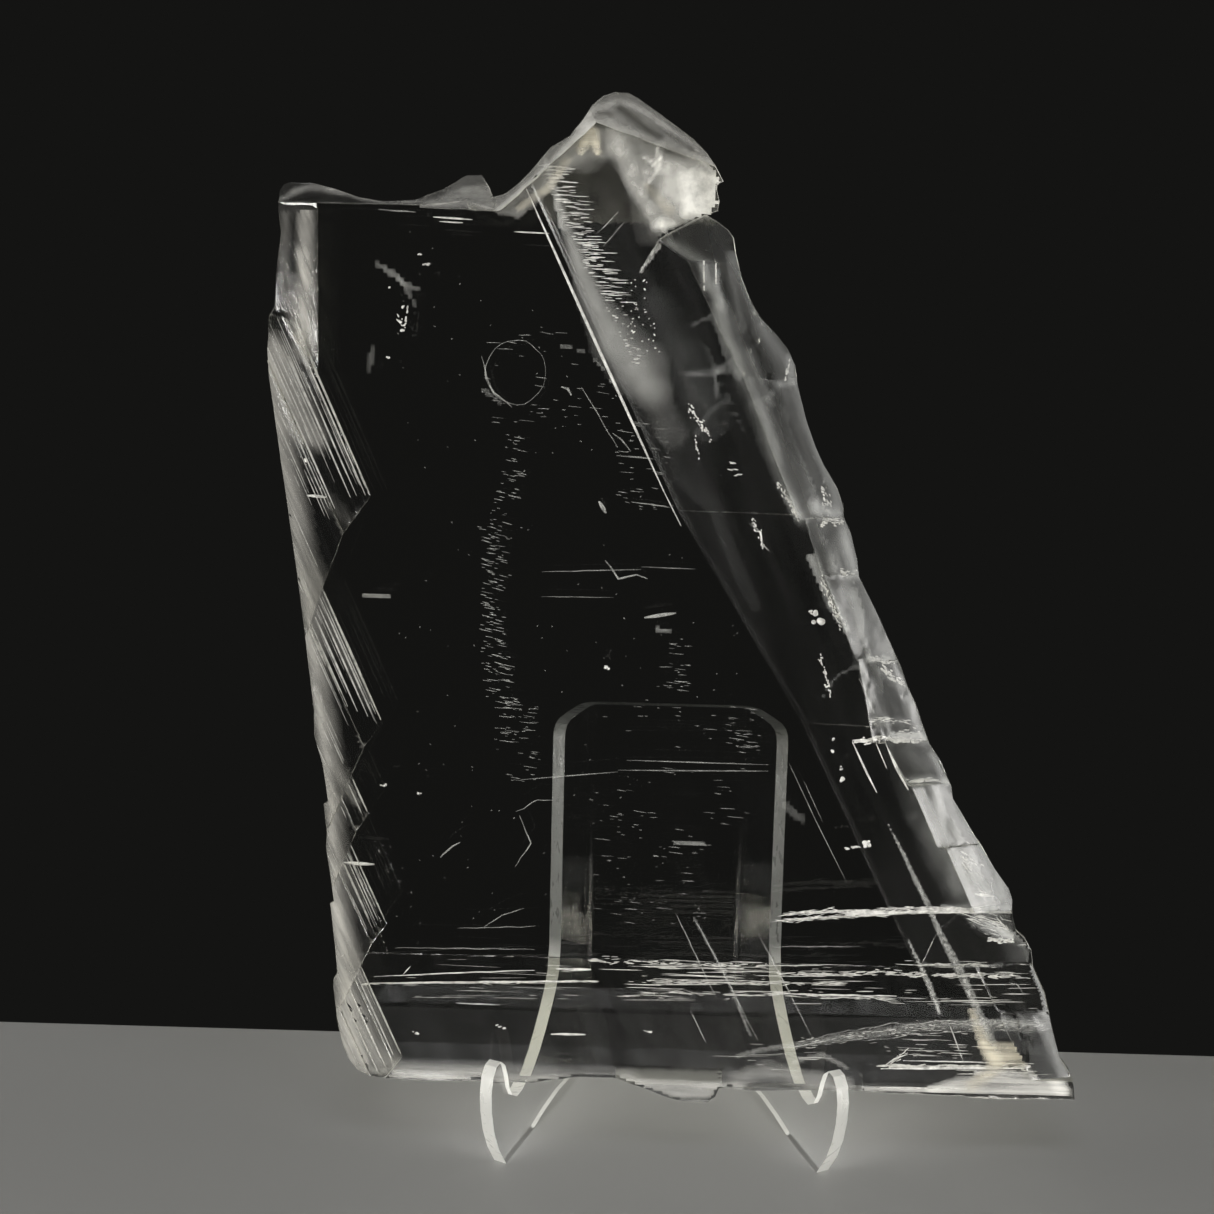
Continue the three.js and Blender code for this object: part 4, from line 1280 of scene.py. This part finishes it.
# How dense each veil is, from positions on the slab

def veil_over(lines, strength=1.0):
    return lambda spots: strength * near_lines(spots, lines)


def folds_inside(spots):
    level = 0.003 + 0.6 * near_lines(spots, HAZE_FOLDS) + near_lines(spots, RIGHT_GLOW)
    return level * in_patches(spots, HAZE_REGION)


def crust_inside(spots):
    crust = 0.8 * in_patches(spots, CAP_CRUST[:2]) + 0.3 * in_patches(spots, CAP_CRUST[2:] + CAP_BLOOM)
    return crust + near_lines(spots, CAP_LINES)


def silk_density(spots, normals):
    """Silky left margin: white at the outer edge, clear towards the foot of each bevel."""
    flat = spots[:, :2]
    level = np.where(normals[:, 2] > FRONT_NORMAL, 0.006, 0.09) + near_lines(flat, SILK_SHEEN)
    return level * (1 - 0.85 * np.clip(near_lines(flat, SILK_GAPS), 0, 1))


def haze_density(spots, normals):
    """Right margin: folds and glow on its front, even grey on its sides, next to nothing behind."""
    flat = spots[:, :2]
    front_level = 0.006 + 0.8 * near_lines(flat, HAZE_FOLDS) + near_lines(flat, RIGHT_RIM)
    front_level += 0.02 * smooth((-spots[:, 2] - 1) / 9) + near_lines(flat, RIGHT_GLOW)
    side_level = np.where(np.abs(normals[:, 2]) < FRONT_NORMAL, 0.04, front_level)
    return np.where(normals[:, 2] < BACK_NORMAL, 0.003 * in_patches(flat, HAZE_REGION), side_level)


def cap_density(spots, normals):
    """The cap: crust and bloom, clearer in its hollow, in its smoky places and over the shoulder."""
    flat = spots[:, :2]
    level = 0.12 + in_patches(flat, CAP_CRUST) + 0.7 * in_patches(flat, CAP_BLOOM)
    level += near_lines(flat, CAP_LINES)
    level = level * (1 - np.clip(near_lines(flat, CAP_SHADE), 0, 1)) + near_lines(flat, CAP_RIM)
    level *= 1 - 0.9 * np.clip(in_patches(flat, CAP_HOLLOW), 0, 1)
    level *= 1 - 0.75 * np.clip(in_patches(flat, CAP_SHOULDER), 0, 1)
    return np.where(normals[:, 2] < BACK_NORMAL, 0.04, level)


def scoop_density(spots, normals):
    return 0.02 + near_lines(spots[:, :2], SCOOP_RIM)


def underside_density(spots, normals):
    return 0.05 + 0.2 * smooth((4 - spots[:, 1]) / 4)


# Which faces carry each skin

HAZE_LEFT = -36
CAP_SKIN_LEFT = -60
SCOOP_RIGHT = -56


def on_silk(face):
    return finish_of(face) == SILKY


def on_haze(face):
    u, w, _ = face.calc_center_median()
    return finish_of(face) in (HAZY, SMOKY) and u > HAZE_LEFT and w < CAP_FOOT


def on_cap(face):
    u, w, _ = face.calc_center_median()
    return finish_of(face) in (HAZY, SMOKY) and u > CAP_SKIN_LEFT and w >= CAP_FOOT


def on_scoop(face):
    u, w, _ = face.calc_center_median()
    return not is_flat(face) and face.normal.z > BACK_NORMAL and u < SCOOP_RIGHT and w > CAP_FOOT


def on_underside(face):
    return finish_of(face) == FROSTED


WHITE = (0.86, 0.86, 0.83)
COOL_WHITE = (0.85, 0.86, 0.85)
CAP_COLOUR = (0.88, 0.87, 0.83)
SILK_COLOUR = (0.87, 0.85, 0.79)
FROST_COLOUR = (0.84, 0.83, 0.8)
UNDERSIDE_COLOUR = (0.86, 0.85, 0.81)
CREAM = (0.8, 0.75, 0.62)


def make_veils(tree):
    """A sheet has two corners, a depth, density, name and material, then its grid step and waviness."""
    fog = veil_material("fog_veil", WHITE, "cloud", 0.3)
    inner_sheet(tree, ((-36, 138), (8, 208)), 3.6, veil_over(FOG), "fog", fog)
    inner_sheet(tree, ((-30, 140), (6, 190)), 6.2, veil_over(FOG, 0.6), "deep_fog", fog)
    inner_sheet(tree, ((-80, 40), (40, 190)), 8.0, veil_over(CLOUDS), "clouds", fog)
    dotted = veil_material("dotted_veil", WHITE, "specks", 1.0)
    inner_sheet(tree, ((4, 4), (92, 66)), 4.6, veil_over(CROSS_BANDS), "cross_bands", dotted, 0.5, 0.3)
    haze = veil_material("fold_veil", COOL_WHITE, "cloud", 0.6)
    inner_sheet(tree, ((-36, 6), (92, 200)), 3.0, folds_inside, "haze_folds", haze, 0.8)
    cap = veil_material("inner_cap_veil", CAP_COLOUR, "cloud", 0.7)
    inner_sheet(tree, ((-42, 183), (10, 220)), 2.4, crust_inside, "inner_cap", cap, 0.7)
    frost = veil_material("foot_veil", FROST_COLOUR, "level", 0.5)
    inner_sheet(tree, ((-70, -3), (94, 10)), 1.4, veil_over(FOOT_FROST), "foot_frost", frost, 0.7, 0.2)
    inner_sheet(tree, ((44, -1), (95, 10)), 2.3, veil_over(CORNER_FROST), "corner_frost", frost, 0.6, 0.1)
    cream = veil_material("stain_veil", CREAM, "level", 0.6)
    inner_sheet(tree, ((-40, 192), (-2, 216)), 1.9, veil_over(CAP_STAIN), "cap_stain", cream, 0.6, 0.2)
    inner_sheet(tree, ((64, -1), (95, 23)), 2.2, veil_over(STAIN), "stain", cream, 0.7, 0.2)


def make_skins(surface):
    """The white bloom on the broken faces."""
    silk = veil_material("silk_veil", SILK_COLOUR, "silk", 0.5, 0.5)
    surface_skin(surface, on_silk, silk_density, "silk_skin", silk)
    haze = veil_material("haze_veil", COOL_WHITE, "folds", 0.4, 0.6)
    surface_skin(surface, on_haze, haze_density, "haze_skin", haze)
    cap = veil_material("cap_veil", CAP_COLOUR, "cloud", 0.5, 0.6)
    surface_skin(surface, on_cap, cap_density, "cap_skin", cap)
    surface_skin(surface, on_scoop, scoop_density, "scoop_skin", cap)
    foot = veil_material("underside_veil", UNDERSIDE_COLOUR, "frost", 0.5, 0.6)
    surface_skin(surface, on_underside, underside_density, "underside_skin", foot)


def make_circle_mark(material):
    """The thin circle-shaped mark inside the clear part."""
    u, w, radius = CIRCLE_MARK
    work = bmesh.new()
    turns = [math.radians(turn) for turn in range(0, 361, CIRCLE_STEP)]
    ring = [
        (u + radius * math.cos(turn), w + radius * CIRCLE_STRETCH * math.sin(turn), -CIRCLE_DEPTH)
        for turn in turns
    ]
    blade_into(work, along_line(ring, 1.2, 0.5, 3), 0.08, 0.1)
    finish_blades(work, "circle_mark", material)


# Stand

ACRYLIC_IOR = 1.49


def acrylic_clear():
    material, tree, shader = new_material("clear_acrylic")
    shader.inputs["Base Color"].default_value = (0.985, 0.99, 0.99, 1)
    shader.inputs["IOR"].default_value = ACRYLIC_IOR
    shader.inputs["Transmission Weight"].default_value = 1.0
    smear = grain(tree, (90, 90, 90), detail=2.0, limits=(0.4, 0.8), values=(0.0, 0.05))
    tree.links.new(smear, shader.inputs["Roughness"])
    lets_lamps_through(tree, shader)
    return material


# The cut edges carry a painted glow below one height and painted shade above the other, in metres
EDGE_GLOW_BELOW = 0.026
EDGE_SHADE_ABOVE = 0.042
EDGE_PAINTED_GLOW = (0.95, 0.95, 0.91, 1)
EDGE_PAINTED_SHADE = (0.11, 0.113, 0.107, 1)
EDGE_LINES = (300, 2200, 300)


def acrylic_edge():
    """The laser-cut edges: the light they gather from the sheet is painted into their colour, a painted glow
    low down fading to painted shade higher up.
    """
    material, tree, shader = new_material("cut_acrylic_edge_painted_glow")
    height = tree.nodes.new("ShaderNodeSeparateXYZ")
    tree.links.new(tree.nodes.new("ShaderNodeTexCoord").outputs["Object"], height.inputs[0])
    # Painted glow on the low part of the edges, painted shade above it, blended by height
    mix = tree.nodes.new("ShaderNodeMix")
    mix.data_type = "RGBA"
    mix.inputs["A"].default_value = EDGE_PAINTED_GLOW
    mix.inputs["B"].default_value = EDGE_PAINTED_SHADE
    fade = tree.nodes.new("ShaderNodeMapRange")
    fade.inputs["From Min"].default_value = EDGE_GLOW_BELOW
    fade.inputs["From Max"].default_value = EDGE_SHADE_ABOVE
    tree.links.new(height.outputs["Z"], fade.inputs["Value"])
    tree.links.new(fade.outputs["Result"], mix.inputs["Factor"])
    tree.links.new(mix.outputs["Result"], shader.inputs["Base Color"])
    shader.inputs["IOR"].default_value = ACRYLIC_IOR
    shader.inputs["Specular IOR Level"].default_value = 0.1
    shader.inputs["Transmission Weight"].default_value = 0.2
    streaks = grain(tree, EDGE_LINES, limits=(0.3, 0.7), values=(0.2, 0.5))
    tree.links.new(streaks, shader.inputs["Roughness"])
    bump(tree, shader, grain(tree, EDGE_LINES), 0.3, 0.0002)
    lets_lamps_through(tree, shader)
    return material


CUT_EDGE_RISE = 0.12
WING_FRONT = 8.0
ALONG_WING = 0.97
STAND_MERGE_GAP = 0.004


def is_cut_edge(face):
    """A cut edge faces along the sheet: up or down the lean, or straight out of a wing's front."""
    normal = face.normal
    if abs(normal.dot(UP_FACE)) > CUT_EDGE_RISE:
        return True
    outward = Vector((math.sin(SPLAY), 0, 0)) + math.cos(SPLAY) * OUT_FACE
    mirrored = Vector((-outward.x, outward.y, outward.z))
    forward = (face.calc_center_median() - FOLD).dot(OUT_FACE) > WING_FRONT * MM
    return forward and max(normal.dot(outward), normal.dot(mirrored)) > ALONG_WING


def make_stand():
    work = bmesh.new()
    work.from_mesh(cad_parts["acrylic_stand"].data)
    bmesh.ops.remove_doubles(work, verts=work.verts, dist=STAND_MERGE_GAP * MM)
    work.normal_update()
    edges = [1 if is_cut_edge(face) else 0 for face in work.faces]
    for face in work.faces:
        face.smooth = True
    for edge in work.edges:
        edge.smooth = edge.calc_face_angle(math.pi) < CREASE
    mesh = bpy.data.meshes.new("stand_sheet")
    work.to_mesh(mesh)
    work.free()
    mesh.materials.append(acrylic_clear())
    mesh.materials.append(acrylic_edge())
    mesh.polygons.foreach_set("material_index", edges)
    piece = link(mesh, "stand_sheet")
    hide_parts("acrylic_stand")
    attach(piece, "root")


# Camera, floor and lamps. The camera's place is in millimetres from the foot of the stand's back panel.

CAMERA_SPOT = Vector((-11.86, -306.32, 215.31))
CAMERA_PITCH = math.radians(17.263)
CAMERA_YAW = math.radians(-0.673)
CAMERA_ROLL = math.radians(-1.234)
FOCAL_PIXELS = 1400.0
IMAGE_PIXELS = 1214.0
SENSOR = 36.0
CLIP_START = 0.01

# The floor, in millimetres
FLOOR_BEHIND = 8.0
FLOOR_AHEAD = 165.0
FLOOR_REACH = 200.0
FLOOR_THICKNESS = 20.0
FLOOR_GREY = (0.42, 0.42, 0.41, 1)


def make_camera():
    forward = Vector((
        math.sin(CAMERA_YAW) * math.cos(CAMERA_PITCH),
        math.cos(CAMERA_YAW) * math.cos(CAMERA_PITCH),
        -math.sin(CAMERA_PITCH),
    ))
    right = Vector((math.cos(CAMERA_YAW), -math.sin(CAMERA_YAW), 0))
    down = forward.cross(right)
    image_right = right * math.cos(CAMERA_ROLL) + down * math.sin(CAMERA_ROLL)
    image_down = -right * math.sin(CAMERA_ROLL) + down * math.cos(CAMERA_ROLL)
    data = bpy.data.cameras.new("camera")
    data.sensor_width = SENSOR
    data.lens = FOCAL_PIXELS / IMAGE_PIXELS * SENSOR
    data.clip_start = CLIP_START
    camera = bpy.data.objects.new("camera", data)
    bpy.context.scene.collection.objects.link(camera)
    turn = Matrix((image_right, -image_down, -forward)).transposed()
    camera.matrix_world = Matrix.Translation(FOLD + CAMERA_SPOT * MM) @ turn.to_4x4()
    bpy.context.scene.camera = camera


def make_floor():
    low = Vector((-FLOOR_REACH * MM, FOLD.y - FLOOR_AHEAD * MM, -FLOOR_THICKNESS * MM))
    high = Vector((FLOOR_REACH * MM, FOLD.y + FLOOR_BEHIND * MM, 0.0))
    work = bmesh.new()
    bmesh.ops.create_cube(work, size=1.0)
    for vert in work.verts:
        vert.co = [low[i] if vert.co[i] < 0 else high[i] for i in range(3)]
    mesh = bpy.data.meshes.new("floor")
    work.to_mesh(mesh)
    work.free()
    floor = link(mesh, "floor")
    material, _, shader = new_material("floor_paint")
    shader.inputs["Base Color"].default_value = FLOOR_GREY
    shader.inputs["Roughness"].default_value = 0.6
    mesh.materials.append(material)


# Soft lamps: name, place, aim, size, watts and colour
WARM_LIGHT = (1.0, 0.985, 0.95)
LAMPS = [
    ("left_lamp", (-0.75, -0.44, 0.18), (0, 0, 0.12), (0.35, 0.24), 5.2, WARM_LIGHT),
    ("right_lamp", (0.75, -0.44, 0.17), (0, 0, 0.12), (0.35, 0.24), 4.4, WARM_LIGHT),
    ("top_lamp", (0.0, -0.1, 0.85), (0, 0, 0.2), (0.5, 0.25), 0.9, (1, 1, 1)),
]
DARK_ROOM = (0.007, 0.007, 0.0065, 1)


def make_lamps():
    for name, spot, target, size, watts, colour in LAMPS:
        data = bpy.data.lights.new(name, "AREA")
        data.shape = "RECTANGLE"
        data.size, data.size_y = size
        data.energy = watts
        data.color = colour
        lamp = bpy.data.objects.new(name, data)
        bpy.context.scene.collection.objects.link(lamp)
        lamp.location = spot
        lamp.rotation_euler = (Vector(target) - Vector(spot)).to_track_quat("-Z", "Y").to_euler()


def make_world():
    world = bpy.data.worlds.new("studio")
    world.use_nodes = True
    world.node_tree.nodes["Background"].inputs["Color"].default_value = DARK_ROOM
    bpy.context.scene.world = world


# Light passes many clear surfaces here, one behind another
CLEAR_LAYERS = 64
GLASS_BOUNCES = 24

scene = bpy.context.scene
scene.view_settings.view_transform = "Standard"
scene.cycles.transparent_max_bounces = CLEAR_LAYERS
scene.cycles.max_bounces = GLASS_BOUNCES
scene.cycles.transmission_bounces = GLASS_BOUNCES

surface = crystal_surface()
surface_tree = BVHTree.FromBMesh(surface)
make_crystal(surface)
make_stand()

bright = mark_material("bright_mark", (0.92, 0.91, 0.88))
faint = mark_material("faint_mark", (0.8, 0.8, 0.77), 0.5, 0.3)
dim = mark_material("dim_mark", (0.82, 0.82, 0.79), 0.5, 0.35)
soft = mark_material("soft_mark", (0.86, 0.85, 0.81), 0.6, 0.75)
make_lines("cleavage_lines", CLEAVAGE_LINES, bright)
make_lines("faint_lines", FAINT_LINES, faint)
make_lines("veins", VEINS, dim)
make_circle_mark(faint)
make_specks(surface_tree, bright, dim)
make_comb(surface_tree, bright)
make_dash_columns(surface_tree, dim, faint)
make_streak_band(surface_tree, soft)
make_ledges(surface_tree, bright)
make_bevel_threads(surface_tree, soft)
make_veils(surface_tree)
make_skins(surface)
surface.free()

make_camera()
make_floor()
make_lamps()
make_world()
